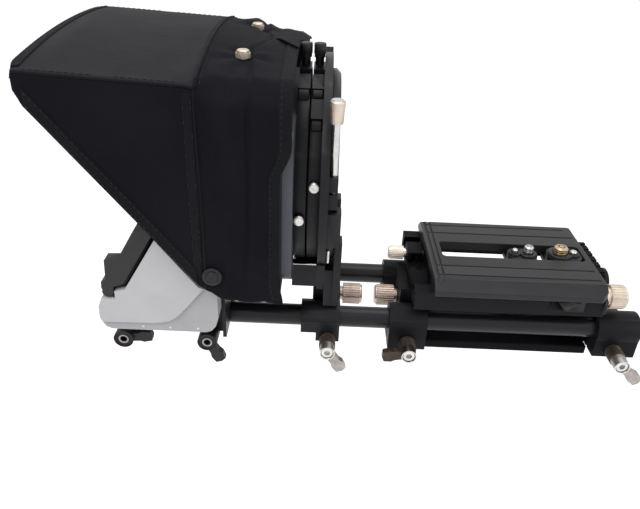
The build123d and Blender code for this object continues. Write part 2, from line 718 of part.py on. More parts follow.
def stage_lock_pin(x, z):
    """Side lock pin with a round thumb disc at its left end."""
    with BuildPart() as pin:
        with BuildSketch(plane_at_y(-48.2)):
            with Locations((x, z)):
                Circle(1.5)
        extrude(amount=16.5)
        with BuildSketch(plane_at_y(-63.6)):
            with Locations((x, z)):
                Circle(3.3)
        extrude(amount=2.6)
        chamfer(pin.faces().sort_by(Axis.Y)[0].edges(), length=0.5)
    return pin


for name, x0, x1, lock_z in (("front", stage1_x0, stage1_x1, 114.5),
                             ("rear", stage2_x0, stage2_x1, 136.0)):
    middle_x = (x0 + x1) / 2
    write(filter_stage(x0, x1, lock_z, is_rear=name == "rear"), name + "_filter_stage")
    write(filter_carrier(x0), name + "_filter_carrier")
    write(stage_lock_pin(middle_x, lock_z), name + "_stage_lock_pin")
    top_seat = Plane((middle_x, 0, stage_z + stage_r + 3.3), z_dir=(0, 0, 1))
    write(thumb_screw(top_seat, head_r=3.4, head_len=8.4, collar_r=2.7, collar_len=4.8,
                      shank_r=1.5, shank_len=15.0, flutes=14, flute_r=0.4),
          name + "_stage_top_lock")

# rigid rectangular front frame of the stage stack
with BuildPart() as front_frame:
    with BuildSketch(Plane.YZ.offset(frame_x0)):
        with Locations((0, 125)):
            RectangleRounded(150, 92, 4)
        with Locations((0, stage_z)):
            Circle(stage_opening_r, mode=Mode.SUBTRACT)
    extrude(amount=frame_x1 - frame_x0)
    with BuildSketch(Plane.YZ.offset(frame_x0)):
        with Locations(*frame_screws):
            Circle(m3_tap_r)
    extrude(amount=5.4, mode=Mode.SUBTRACT)
write(front_frame, "stage_front_frame")

# split lens clamp ring with two lugs at the operator's left
ring_r = 63.0
lens_r = 45.0               # bore
ring_mid_x = (ring_x0 + ring_x1) / 2
lug_screw_y = -63
with BuildPart() as lens_ring:
    with BuildSketch(Plane.YZ.offset(ring_x0)):
        with Locations((0, stage_z)):
            Circle(ring_r)
        with Locations((-60, 133.2)):
            Rectangle(14, 20)
        with Locations((0, stage_z)):
            Circle(lens_r, mode=Mode.SUBTRACT)
        with Locations((-56, 133.4)):
            Rectangle(30, 1.6, mode=Mode.SUBTRACT)
    extrude(amount=ring_x1 - ring_x0)
    back_arcs = lens_ring.faces().sort_by(Axis.X)[-1].edges().filter_by(GeomType.CIRCLE)
    chamfer(back_arcs.sort_by(SortBy.LENGTH)[-1], length=2.8)
    with BuildSketch(Plane.XY.offset(100)):
        with Locations((ring_mid_x, lug_screw_y)):
            Circle(m3_hole_r)
    extrude(amount=60, mode=Mode.SUBTRACT)
write(lens_ring, "lens_clamp_ring")

# long screw that pulls the ring's lugs together
ring_head_top = 186.6
with BuildPart() as ring_screw:
    # bottom z, radius and length of the thread and the thicker shaft
    for z, radius, length in ((123.6, 1.5, 20.4), (143.6, 2.0, 31)):
        with BuildSketch(Plane.XY.offset(z)):
            with Locations((ring_mid_x, lug_screw_y)):
                Circle(radius)
        extrude(amount=length)
    # head, wider towards the top
    for z, radius in ((174, 3.4), (ring_head_top, 4.1)):
        with BuildSketch(Plane.XY.offset(z)):
            with Locations((ring_mid_x, lug_screw_y)):
                Circle(radius)
    loft()
    with BuildSketch(Plane.XY.offset(ring_head_top)):
        with Locations((ring_mid_x, lug_screw_y)):
            Circle(3.3)
    extrude(amount=0.8)
    # flutes round the head
    with BuildSketch(Plane.XY.offset(ring_head_top)):
        with Locations((ring_mid_x, lug_screw_y)):
            with PolarLocations(4.5, 14):
                Circle(0.75)
    extrude(amount=-14, mode=Mode.SUBTRACT)
write(ring_screw, "ring_clamp_screw")

# ================================================================ shroud box and sleeve

# folded sheet box inside the sleeve, closed at the back round the opening
shroud_x0, shroud_x1 = -154, frame_x0 - 0.1
shroud_hw, shroud_bottom = 77.4, 70
shroud_arch = (193.2, 200.2)        # shoulder and crown heights
sheet_t, back_wall_t = 1.2, 1.4
with BuildPart() as shroud_box:
    with BuildSketch(Plane.YZ.offset(shroud_x0)) as box_outer:
        with BuildLine():
            arched_outline(shroud_hw, shroud_arch, shroud_bottom)
        make_face()
        fillet(box_outer.vertices().sort_by(Axis.Y)[-2:], radius=shoulder_r)
    extrude(amount=shroud_x1 - shroud_x0)
    with BuildSketch(Plane.YZ.offset(shroud_x0 - 1)) as box_inner:
        with BuildLine():
            arched_outline(shroud_hw, shroud_arch, shroud_bottom + sheet_t, inset=sheet_t)
        make_face()
        fillet(box_inner.vertices().sort_by(Axis.Y)[-2:], radius=shoulder_r - sheet_t)
    extrude(amount=shroud_x1 - back_wall_t - (shroud_x0 - 1), mode=Mode.SUBTRACT)
    with BuildSketch(Plane.YZ.offset(-130)):
        with Locations((0, stage_z)):
            Circle(46.0)
        with Locations(*frame_screws):
            Circle(1.6)
    extrude(amount=10, mode=Mode.SUBTRACT)
    with BuildSketch(Plane.XY.offset(180)):
        with Locations(*hood_screws):
            Circle(2.06)
    extrude(amount=25, mode=Mode.SUBTRACT)
write(shroud_box, "shroud_box")

# fabric sleeve over the shroud box
sleeve_bottom = 66
with BuildPart() as sleeve:
    with BuildSketch(Plane.YZ.offset(sleeve_x0)) as sleeve_outer:
        with BuildLine():
            arched_outline(hood_hw, rear_arch, sleeve_bottom)
        make_face()
        fillet(sleeve_outer.vertices().sort_by(Axis.Y)[-2:], radius=shoulder_r + 2.0)
    extrude(amount=sleeve_x1 - sleeve_x0)
    with BuildSketch(Plane.YZ.offset(sleeve_x0)) as sleeve_inner:
        with BuildLine():
            arched_outline(hood_hw, rear_arch, sleeve_bottom + cloth, inset=cloth)
        make_face()
        fillet(sleeve_inner.vertices().sort_by(Axis.Y)[-2:], radius=shoulder_r + 0.4)
    extrude(amount=sleeve_x1 - sleeve_x0, mode=Mode.SUBTRACT)
    # the back edge is shorter along the sides and floor than along the roof
    with BuildSketch(plane_at_y(90)):
        with Locations((-118, 118)):
            Rectangle(7, 108)
    extrude(amount=180, mode=Mode.SUBTRACT)
    with BuildSketch(Plane.XY.offset(180)):
        with Locations(*hood_screws):
            Circle(3.0)
    extrude(amount=30, mode=Mode.SUBTRACT)
write(sleeve, "hood_sleeve")

# fluted screws that hold the sleeve to the shroud box
for name, (x, y) in zip(("left", "right"), hood_screws):
    write(thumb_screw(Plane((x, y, 201.5), z_dir=(0, 0, 1)), head_r=4.2, head_len=4.4,
                      collar_r=2.8, collar_len=0.6, shank_r=2.0, shank_len=7.0,
                      flutes=18, flute_r=0.45), name + "_hood_screw")


# ================================================================ prompter body

def prompter_clamp(x0, x1, bolt_x, screws, has_leaf=False):
    """Clamp block under the tub, with narrower ears round its draw bolt."""
    with BuildPart() as clamp:
        with BuildSketch(Plane.YZ.offset(x0)):
            with Locations((-rod_y, 22.5), (rod_y, 22.5)):
                Rectangle(2 * ear_r, 19)
            with Locations((0, 22)):
                Rectangle(44, 20)
        extrude(amount=x1 - x0)
        for y in (-ear_inner_y, ear_outer_y):
            with BuildSketch(plane_at_y(y)):
                with Locations((bolt_x, 14)):
                    Rectangle(12.4, 12)
                with Locations((bolt_x, prompter_bolt_z)):
                    Circle(6.2)
            extrude(amount=2 * ear_r)
        with BuildSketch(Plane.YZ.offset(x0)):
            rod_bores_and_slits()
        extrude(amount=x1 - x0, mode=Mode.SUBTRACT)
        if has_leaf:
            # upright leaf behind the tub
            with BuildSketch(Plane.YZ.offset(x1)):
                with Locations((-46.75, 25), (46.75, 25)):
                    Rectangle(15.5, 14)
                with Locations((0, 42)):
                    Rectangle(110, 24)
                with Locations((0, 25)):
                    Rectangle(40, 14)
                with Locations(*rod_centres):
                    Circle(rod_bore_r + 1.0, mode=Mode.SUBTRACT)
            extrude(amount=2.4)
        with BuildSketch(plane_at_y(cut_y)):
            with Locations((bolt_x, prompter_bolt_z)):
                Circle(m5_hole_r)
        extrude(amount=2 * cut_y, mode=Mode.SUBTRACT)
        with Locations(*[(x, y, 32) for x, y in screws]):
            Cylinder(m4_tap_r, 12, align=(Align.CENTER, Align.CENTER, Align.MAX),
                     mode=Mode.SUBTRACT)
    return clamp


write(prompter_clamp(x0=-241.0, x1=-217.0, bolt_x=prompter_front_bolt_x,
                     screws=tub_screws[:2]), "prompter_front_clamp")
write(prompter_clamp(x0=-185.0, x1=-162.5, bolt_x=prompter_rear_bolt_x,
                     screws=tub_screws[2:], has_leaf=True), "prompter_rear_clamp")

# moulded tub: side walls rise to a peak that shades the screen
tub_wall_t = 2.6
lug_len = 7.2
tub_outline = (             # x, z of the side walls
    (-235.4, 56.7), (-238.1, 50.5), (-238.4, 42.0), (-237.6, 37.0), (-235.6, 33.6),
    (-232.0, 32.0), (-171.0, 32.0), (-167.4, 33.3), (-164.4, 37.0), (-162.6, 43.0),
    (-162.6, 60.5), (-170.5, 67.0), (-173.9, 68.0), (-198.2, 100.0), (-219.7, 64.2),
    (-226.5, 62.3), (-226.5, 56.7),
)
tub_cavity = (              # x, z, open upwards
    (-231.0, 58), (-235.4, 50.0), (-235.6, 42.6), (-233.6, 36.6), (-230.3, tub_floor),
    (-172.0, tub_floor), (-166.0, 41.6), (-165.4, 58), (-165.4, 110), (-231.0, 110),
)
lug_web = ((-228.3, 60), (-228.3, 48), (-235.0, 48), (-233.4, 56), (-234.2, 60))    # x, z
with BuildPart() as tub:
    with BuildSketch(plane_at_y(-tub_hw)):
        with BuildLine():
            Polyline(*tub_outline, tub_outline[0])
        make_face()
    extrude(amount=-2 * tub_hw)
    with BuildSketch(plane_at_y(-(tub_hw - tub_wall_t))):
        with BuildLine():
            Polyline(*tub_cavity, tub_cavity[0])
        make_face()
    extrude(amount=-2 * (tub_hw - tub_wall_t), mode=Mode.SUBTRACT)
    # ledges that carry the device tray
    with BuildSketch(Plane.XY.offset(41.8)):
        with Locations((-200, -64.7), (-200, 64.7)):
            Rectangle(66, 3)
    extrude(amount=2.0)
    with Locations(*[(x, y, tub_floor) for x, y in tub_screws]):
        CounterBoreHole(m4_clear_r, m4_cbore_r, 0.6, depth=4)
    # hinge lugs of the flap on the front wall
    for y in (-57.6, 50.4):
        with BuildSketch(plane_at_y(y)):
            with Locations(flap_hinge):
                Circle(3.4)
            with BuildLine():
                Polyline(*lug_web, lug_web[0])
            make_face()
        extrude(amount=-lug_len)
    with BuildSketch(plane_at_y(-60)):
        with Locations(flap_hinge):
            Circle(hinge_pin_r)
    extrude(amount=-120, mode=Mode.SUBTRACT)
    # holes for the screws of the mirror frame's ears
    with BuildSketch(plane_at_y(-80)):
        with Locations(*mirror_ear_holes):
            Circle(m2_hole_r)
    extrude(amount=-160, mode=Mode.SUBTRACT)
write(tub, "body_tub")

# four screws down through the tub's floor
with BuildPart() as floor_screws:
    for x, y in tub_screws:
        with BuildSketch(Plane.XY.offset(34.3)):
            with Locations((x, y)):
                Circle(3.6)
                RegularPolygon(1.4, 6, mode=Mode.SUBTRACT)
        extrude(amount=2.6)
        with BuildSketch(Plane.XY.offset(34.9)):
            with Locations((x, y)):
                Circle(m4_r)
        extrude(amount=-13)
write(floor_screws, "tub_screws")

# outer side panels over the tub's walls
panel_t = 2.0
panel_outline = (           # x, z
    (-219.7, 64.2), (-198.2, 100.0), (-173.9, 68.0), (-170.8, 66.6), (-181.0, 53.5),
    (-188.5, 44.6), (-194.5, 40.8), (-203.0, 39.2), (-237.0, 38.6), (-238.3, 42.0),
    (-238.0, 50.5), (-235.4, 56.7), (-226.5, 57.0), (-226.5, 62.3),
)
for name, side in (("left", -1), ("right", 1)):
    with BuildPart() as panel:
        with BuildSketch(plane_at_y(side * tub_hw)):
            with BuildLine():
                Polyline(*panel_outline, panel_outline[0])
            make_face()
        extrude(amount=-side * panel_t)
        # blind screw holes in the inner face
        with BuildSketch(plane_at_y(side * tub_hw)):
            with Locations(*mirror_ear_holes):
                Circle(m2_hole_r)
        extrude(amount=-side * 1.4, mode=Mode.SUBTRACT)
    write(panel, name + "_side_panel")

# shelf that the phone or player lies on, with a low rim along each side
tray_x, tray_z, tray_t = -199.6, 43.9, 1.6
with BuildPart() as device_tray:
    with BuildSketch(Plane.XY.offset(tray_z)):
        with Locations((tray_x, 0)):
            RectangleRounded(62, 130, 3)
    extrude(amount=tray_t)
    with BuildSketch(Plane.XY.offset(tray_z + tray_t)):
        with Locations((tray_x, 63.6), (tray_x, -63.6)):
            Rectangle(60, 1.6)
    extrude(amount=4.5)
write(device_tray, "device_tray")

# front flap: panel on the slope of the side walls between two deep end ribs
flap_panel_hw = 65.6
flap_bore_hw = 67.4
knuckle_r = 3.6
flap_end = (                # x, z
    (-234.8, 63.6), (-232.6, 60.2), (-227.4, 61.0), (-227.2, 65.0), (-220.8, 67.0),
    (-200.2, 101.6), (-202.6, 105.8), (-210.2, 105.8), (-222.7, 84.4), (-230.6, 84.0),
    (-231.4, 70.0), (-234.4, 68.4),
)
flap_panel = (              # x, z
    (-227.4, 61.0), (-220.8, 67.0), (-203.2, 96.4), (-206.6, 98.6), (-226.2, 70.0),
    (-231.0, 64.4),
)
with BuildPart() as flap:
    # start y, length along +Y and section of the panel and the two ribs
    for y, length, outline in ((-flap_panel_hw, 2 * flap_panel_hw, flap_panel),
                               (-69.4, 9.2, flap_end), (60.2, 9.2, flap_end)):
        with BuildSketch(plane_at_y(y)):
            with BuildLine():
                Polyline(*outline, outline[0])
            make_face()
            with Locations(flap_hinge):
                Circle(knuckle_r)
        extrude(amount=-length)
    with BuildSketch(plane_at_y(-flap_bore_hw)):
        with Locations(flap_hinge):
            Circle(hinge_pin_r + pin_clearance)
    extrude(amount=-2 * flap_bore_hw, mode=Mode.SUBTRACT)
    # gaps for the tub's hinge lugs
    for y in (-58, 50):
        with BuildSketch(plane_at_y(y)):
            with Locations(flap_hinge):
                Circle(4.6)
        extrude(amount=-8, mode=Mode.SUBTRACT)
write(flap, "front_flap")

flap_pin_hw = 66.8
with BuildPart() as flap_pin:
    with BuildSketch(plane_at_y(-flap_pin_hw)):
        with Locations(flap_hinge):
            Circle(hinge_pin_r)
    extrude(amount=-2 * flap_pin_hw)
write(flap_pin, "flap_hinge_pin")

# ================================================================ mirror

# On the hem plane x runs up the slope from the hem's lower corner, y across.
mirror_centre = (72, 0)
glass_seat = 4.8            # height of the glass's underside above the hem plane
# x of the clip screws, x of the clips' middles
clip_rows = ((7, 9.5), (137, 134.5))
clip_ys = (-50, 50)
clip_screws = [(x, y) for x, _ in clip_rows for y in clip_ys]
mirror_ear = (              # x, z in the main frame
    (-177.0, 85.8), (-195.0, 108.3), (-199.5, 90.0), (-190.0, 68.0), (-181.5, 66.0),
)

# sloping frame that holds the beam splitter
with BuildPart() as mirror_frame:
    with BuildSketch(hem_plane.offset(1.0)):
        with Locations(mirror_centre):
            RectangleRounded(136, 148, 4)
        with Locations(mirror_centre):
            Rectangle(114, 126, mode=Mode.SUBTRACT)
    extrude(amount=7)
    with BuildSketch(hem_plane.offset(glass_seat)):
        with Locations(mirror_centre):
            Rectangle(122.4, 134.4)
    extrude(amount=4, mode=Mode.SUBTRACT)
    with BuildSketch(hem_plane.offset(8.0)):
        with Locations(*clip_screws):
            Circle(m2_hole_r)
    extrude(amount=-6.2, mode=Mode.SUBTRACT)
    # ears that reach down to the tub's side walls
    for side in (-1, 1):
        with BuildSketch(plane_at_y(side * mirror_ear_y)):
            with BuildLine():
                Polyline(*mirror_ear, mirror_ear[0])
            make_face()
        extrude(amount=-side * 3.2)
    with BuildSketch(plane_at_y(-80)):
        with Locations(*mirror_ear_holes):
            Circle(m2_hole_r)
    extrude(amount=-160, mode=Mode.SUBTRACT)
write(mirror_frame, "mirror_frame")

with BuildPart() as glass:
    with BuildSketch(hem_plane.offset(glass_seat)):
        with Locations(mirror_centre):
            Rectangle(122, 134)
    extrude(amount=3)
write(glass, "beam_splitter_glass")

with BuildPart() as mirror_clips:
    for screw_x, clip_x in clip_rows:
        for y in clip_ys:
            with BuildSketch(hem_plane.offset(8.05)):
                with Locations((clip_x, y)):
                    Rectangle(11, 9)
                with Locations((screw_x, y)):
                    Circle(1.05, mode=Mode.SUBTRACT)
            extrude(amount=1.2)
write(mirror_clips, "mirror_clips")

# eight identical M2 screws: four through the clips, four through the ears
with BuildPart() as mirror_screws:
    for place in clip_screws:
        for radius, length in ((m2_r, -m2_len), (m2_head_r, m2_head_h)):
            with BuildSketch(hem_plane.offset(9.3)):
                with Locations(place):
                    Circle(radius)
            extrude(amount=length)
    for side in (-1, 1):
        for place in mirror_ear_holes:
            for radius, length in ((m2_r, -m2_len), (m2_head_r, m2_head_h)):
                with BuildSketch(plane_at_y(side * mirror_ear_y)):
                    with Locations(place):
                        Circle(radius)
                extrude(amount=side * length)
write(mirror_screws, "frame_screws")

# ================================================================ hood

# arched roof and two sides, open along the slanted hem and at the back
hem_trim = (                # x, z cut away behind and below the hem's lower corner
    (-180, 20), (-150, 20), (-150, 64), (-158, 66), (hem_x, hem_z), (-180, hem_z),
)
with BuildPart() as hood:
    for x, arch in ((hood_front_x, front_arch), (hood_rear_x, rear_arch)):
        with BuildSketch(Plane.YZ.offset(x)):
            with BuildLine():
                arched_outline(hood_hw, arch, 40)
            make_face()
    loft()
    for x, arch in ((hood_front_x - 1, front_arch), (hood_rear_x + 1, rear_arch)):
        with BuildSketch(Plane.YZ.offset(x)):
            with BuildLine():
                arched_outline(hood_hw, arch, 30, inset=cloth)
            make_face()
    loft(mode=Mode.SUBTRACT)
    split(bisect_by=hem_plane, keep=Keep.TOP)
    with BuildSketch(plane_at_y(90)):
        with BuildLine():
            Polyline(*hem_trim, hem_trim[0])
        make_face()
    extrude(amount=180, mode=Mode.SUBTRACT)
write(hood, "hood_fabric")

# press studs that hold the hood's lower corners
with BuildPart() as hood_snaps:
    for side in (-1, 1):
        # distance outside the hood's side, radius, thickness
        for gap, radius, thickness in ((0.05, 5.4, 1.0), (1.0, 3.0, 0.8)):
            with BuildSketch(plane_at_y(side * (hood_hw + gap))):
                with Locations((-162.6, 83.0)):
                    Circle(radius)
            extrude(amount=-side * thickness)
write(hood_snaps, "hood_snaps")
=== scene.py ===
"""Camera matte box with a prompter: cloth hood, rod clamps, levers and filter stages.

The front of the rig points to -X, its left (near) side to -Y, and +Z is up. Shapes are given in
millimetres and turned into metres by mesh_object; shaders, lights and the camera use metres.
"""

import math

import bmesh
import bpy
import numpy as np
from mathutils import Matrix, Vector


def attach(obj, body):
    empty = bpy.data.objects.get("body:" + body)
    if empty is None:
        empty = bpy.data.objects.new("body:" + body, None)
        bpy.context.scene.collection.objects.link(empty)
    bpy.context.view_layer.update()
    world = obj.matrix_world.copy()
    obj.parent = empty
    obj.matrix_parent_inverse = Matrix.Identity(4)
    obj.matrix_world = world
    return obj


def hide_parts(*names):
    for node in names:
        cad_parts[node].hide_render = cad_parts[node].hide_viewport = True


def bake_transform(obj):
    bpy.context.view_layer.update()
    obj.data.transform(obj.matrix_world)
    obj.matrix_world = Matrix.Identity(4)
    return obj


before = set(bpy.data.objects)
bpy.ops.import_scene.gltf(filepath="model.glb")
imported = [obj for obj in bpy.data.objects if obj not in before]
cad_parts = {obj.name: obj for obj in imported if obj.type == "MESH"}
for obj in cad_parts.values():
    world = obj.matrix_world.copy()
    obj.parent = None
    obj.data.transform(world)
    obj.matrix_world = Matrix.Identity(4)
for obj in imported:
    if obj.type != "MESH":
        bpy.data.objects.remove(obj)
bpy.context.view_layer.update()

MM = 0.001
SIDES = ((-1, "left"), (1, "right"))
BACKWARD, NEARWARD, UPWARD = (1, 0, 0), (0, -1, 0), (0, 0, 1)


# ------------------------------------------------------------------ shader helpers

def new_material(name):
    material = bpy.data.materials.new(name)
    material.use_nodes = True
    tree = material.node_tree
    return material, tree, tree.nodes["Principled BSDF"]


def set_inputs(node, inputs):
    """Links each input that is given a socket and sets the others."""
    for key, value in inputs.items():
        if isinstance(value, bpy.types.NodeSocket):
            node.id_data.links.new(value, node.inputs[key])
        else:
            node.inputs[key].default_value = value


def add_node(tree, kind, inputs=None, **settings):
    node = tree.nodes.new("ShaderNode" + kind)
    for key, value in settings.items():
        setattr(node, key, value)
    set_inputs(node, inputs or {})
    return node


def add_noise(tree, vector, scale, detail, **others):
    inputs = {"Vector": vector, "Scale": scale, "Detail": detail, **others}
    return add_node(tree, "TexNoise", inputs).outputs["Fac"]


def add_ramp(tree, factor, low, high, start=0.3, end=0.7):
    ramp = add_node(tree, "ValToRGB", {"Fac": factor})
    first, last = ramp.color_ramp.elements
    first.position = start
    last.position = end
    first.color = (*low, 1)
    last.color = (*high, 1)
    return ramp.outputs["Color"]


def add_range(tree, value, low, high):
    inputs = {"Value": value, "To Min": low, "To Max": high}
    return add_node(tree, "MapRange", inputs).outputs["Result"]


# ------------------------------------------------------------------ materials

def surface(name, dark, light, rough, metallic=0.0, grain=900.0, bump=0.08, cloud=45.0,
            sheen=0.0, specular=0.5, stretch=(1, 1, 1), wear=None):
    """A finish with cloudy tone, uneven gloss, a fine grain and, if asked, worn edges."""
    rough_spread = 0.08
    grain_depth = 0.0004
    material, tree, shader = new_material(name)
    coords = add_node(tree, "TexCoord").outputs["Object"]
    mapping = add_node(tree, "Mapping", {"Vector": coords, "Scale": stretch})
    vector = mapping.outputs["Vector"]
    clouds = add_noise(tree, vector, cloud, 5.0, Roughness=0.6)
    colour = add_ramp(tree, clouds, dark, light)
    if wear:
        pointiness = add_node(tree, "NewGeometry").outputs["Pointiness"]
        edges = add_ramp(tree, pointiness, (0, 0, 0), (1, 1, 1), start=0.53, end=0.62)
        # inputs of a colour mix: 0 factor, 6 first colour, 7 second colour
        mix = add_node(tree, "Mix", {0: edges, 6: colour, 7: (*wear, 1)}, data_type="RGBA")
        colour = mix.outputs[2]
    gloss = add_range(tree, clouds, rough - rough_spread, rough + rough_spread)
    fine = add_noise(tree, vector, grain, 3.0)
    relief = add_node(tree, "Bump", {"Height": fine, "Strength": bump, "Distance": grain_depth})
    set_inputs(shader, {
        "Base Color": colour, "Roughness": gloss, "Normal": relief.outputs["Normal"],
        "Metallic": metallic, "Specular IOR Level": specular,
        "Coat Weight": 0.0, "Coat Roughness": 0.3, "Sheen Weight": sheen})
    return material


def cloth_material(name, dark, light, sheen, weave=0.00075, bump=0.35):
    """Plain weave of two crossed ribs, with slubs and soft creases over it."""
    material, tree, shader = new_material(name)
    coords = add_node(tree, "TexCoord")
    place = coords.outputs["Object"]
    split = add_node(tree, "SeparateXYZ", {"Vector": coords.outputs["UV"]})
    ribs = []
    for axis in ("X", "Y"):
        phase = add_node(tree, "Math", {0: split.outputs[axis], 1: 2 * math.pi / weave},
                         operation="MULTIPLY")
        sine = add_node(tree, "Math", {0: phase.outputs[0]}, operation="SINE")
        ribs.append(sine.outputs[0])
    crossed = add_node(tree, "Math", {0: ribs[0], 1: ribs[1]}, operation="MULTIPLY")
    slubs = add_noise(tree, place, 600.0, 3.0)
    threads = add_node(tree, "Math", {0: crossed.outputs[0], 1: slubs}, operation="ADD")
    creases = add_noise(tree, place, 60.0, 6.0, Roughness=0.62, Distortion=0.8)
    woven = add_node(tree, "Bump", {
        "Height": threads.outputs[0], "Strength": bump, "Distance": 0.0002})
    creased = add_node(tree, "Bump", {
        "Height": creases, "Strength": 0.35, "Distance": 0.0025,
        "Normal": woven.outputs["Normal"]})
    clouds = add_noise(tree, place, 25.0, 4.0)
    set_inputs(shader, {
        "Base Color": add_ramp(tree, clouds, dark, light),
        "Normal": creased.outputs["Normal"],
        "Roughness": 0.82, "Specular IOR Level": 0.09,
        "Sheen Weight": sheen, "Sheen Roughness": 0.45, "Sheen Tint": (0.75, 0.78, 0.85, 1)})
    return material


def half_silvered_glass(name):
    """Part mirror, part clear, in slightly uneven shares."""
    material, tree, shader = new_material(name)
    tree.nodes.remove(shader)
    mirror = add_node(tree, "BsdfGlossy", {"Color": (0.82, 0.86, 0.88, 1), "Roughness": 0.015})
    clear = add_node(tree, "BsdfTransparent", {"Color": (0.86, 0.90, 0.90, 1)})
    noise = add_node(tree, "TexNoise", {"Scale": 18.0, "Detail": 2.0})
    share = add_range(tree, noise.outputs["Fac"], 0.30, 0.42)
    mix = add_node(tree, "MixShader", {"Fac": share, 1: clear.outputs[0], 2: mirror.outputs[0]})
    set_inputs(tree.nodes["Material Output"], {"Surface": mix.outputs[0]})
    return material


MATERIALS = {
    "black": surface(
        "black_anodised", dark=(0.0042, 0.0044, 0.0056), light=(0.0072, 0.0075, 0.0090),
        rough=0.40, metallic=0.15, grain=1400, bump=0.10, specular=0.20,
        wear=(0.018, 0.018, 0.020)),
    "black_dull": surface(
        "black_anodised_dull", dark=(0.0034, 0.0036, 0.0046), light=(0.0058, 0.0060, 0.0072),
        rough=0.50, metallic=0.05, grain=1400, bump=0.10, specular=0.10,
        wear=(0.014, 0.014, 0.016)),
    "black_deep": surface(
        "black_anodised_deep", dark=(0.0016, 0.0017, 0.0024), light=(0.0030, 0.0032, 0.0040),
        rough=0.58, grain=1400, bump=0.10, specular=0.06, wear=(0.012, 0.012, 0.014)),
    "rod": surface(
        "rod_black", dark=(0.0050, 0.0053, 0.0066), light=(0.0080, 0.0084, 0.0100),
        rough=0.30, metallic=0.2, grain=500, bump=0.05, stretch=(0.05, 1, 1), specular=0.30),
    "plate": surface(
        "plate_black", dark=(0.0080, 0.0082, 0.0094), light=(0.0125, 0.0128, 0.0142),
        rough=0.42, metallic=0.2, grain=2200, bump=0.14, specular=0.30,
        wear=(0.026, 0.026, 0.029)),
    "frame_grey": surface(
        "frame_grey", dark=(0.034, 0.038, 0.046), light=(0.048, 0.052, 0.061),
        rough=0.5, metallic=0.2, grain=900, bump=0.1),
    "champagne": surface(
        "champagne_knurl", dark=(0.50, 0.43, 0.355), light=(0.64, 0.56, 0.475),
        rough=0.36, metallic=0.9, grain=2500, bump=0.2, cloud=160),
    "champagne_light": surface(
        "champagne_light_knurl", dark=(0.68, 0.62, 0.53), light=(0.82, 0.76, 0.67),
        rough=0.34, metallic=0.8, grain=2500, bump=0.2, cloud=160),
    "rose": surface(
        "rose_knurl", dark=(0.35, 0.28, 0.24), light=(0.55, 0.45, 0.39),
        rough=0.36, metallic=0.9, grain=2500, bump=0.2, cloud=220),
    "brass": surface(
        "brass_screw", dark=(0.44, 0.33, 0.19), light=(0.60, 0.47, 0.30),
        rough=0.30, metallic=1.0, grain=1800, bump=0.15, cloud=140),
    "steel": surface(
        "bright_steel", dark=(0.50, 0.49, 0.475), light=(0.68, 0.67, 0.65),
        rough=0.28, metallic=1.0, grain=1600, bump=0.12, cloud=120),
    "satin": surface(
        "satin_steel", dark=(0.25, 0.225, 0.215), light=(0.42, 0.39, 0.375),
        rough=0.44, metallic=1.0, grain=1500, bump=0.22, cloud=170),
    "screw_black": surface(
        "blackened_screw", dark=(0.008, 0.008, 0.009), light=(0.015, 0.0145, 0.0145),
        rough=0.34, metallic=0.5, grain=1500, bump=0.12, specular=0.35),
    "grey": surface(
        "light_grey_shell", dark=(0.335, 0.333, 0.342), light=(0.362, 0.360, 0.369),
        rough=0.48, grain=2600, bump=0.10, specular=0.35),
    # darker copy of the light grey shell: the shade on the body tub is painted into its colour
    "grey_painted_shade": surface(
        "grey_shell_painted_shade", dark=(0.262, 0.261, 0.270), light=(0.290, 0.288, 0.297),
        rough=0.5, grain=2600, bump=0.10, specular=0.35),
    "plastic": surface(
        "black_moulding", dark=(0.0065, 0.0065, 0.0075), light=(0.0110, 0.0110, 0.0120),
        rough=0.48, grain=2600, bump=0.22, specular=0.28),
    "flap": surface(
        "flap_moulding", dark=(0.0135, 0.0132, 0.0140), light=(0.0195, 0.0191, 0.0198),
        rough=0.55, grain=2400, bump=0.25, specular=0.3),
    "felt": surface(
        "felt_lining", dark=(0.006, 0.006, 0.006), light=(0.010, 0.010, 0.010),
        rough=0.95, grain=3200, bump=0.5, specular=0.1, sheen=0.1),
    "hub_brown": surface(
        "ribbed_hub", dark=(0.030, 0.022, 0.018), light=(0.070, 0.052, 0.042),
        rough=0.36, metallic=0.8, grain=1500, bump=0.15, cloud=200),
    "cloth": cloth_material(
        "hood_cloth", dark=(0.0028, 0.0028, 0.0046), light=(0.0047, 0.0048, 0.0070),
        sheen=0.01),
    # lighter copy of the hood cloth for the front roof, with the light falling on the roof
    # painted into its colour
    "cloth_roof_painted_light": cloth_material(
        "hood_roof_cloth_painted_light", dark=(0.0118, 0.0115, 0.0132), light=(0.0162, 0.0158, 0.0178),
        sheen=0.02),
    "cloth_hem": cloth_material(
        "hood_hem_cloth", dark=(0.0040, 0.0042, 0.0054), light=(0.0062, 0.0064, 0.0078),
        weave=0.0011, bump=0.5, sheen=0.02),
    "thread": surface(
        "stitch_thread", dark=(0.009, 0.009, 0.011), light=(0.016, 0.016, 0.018),
        rough=0.7, grain=3000, bump=0.4, specular=0.2),
    "glass": half_silvered_glass("beam_splitter"),
    "floor": surface(
        "studio_floor", dark=(0.86, 0.86, 0.86), light=(0.90, 0.90, 0.90),
        rough=0.7, grain=80, bump=0.02, cloud=2, specular=0.2),
}

# ------------------------------------------------------------------ finish of the CAD pieces

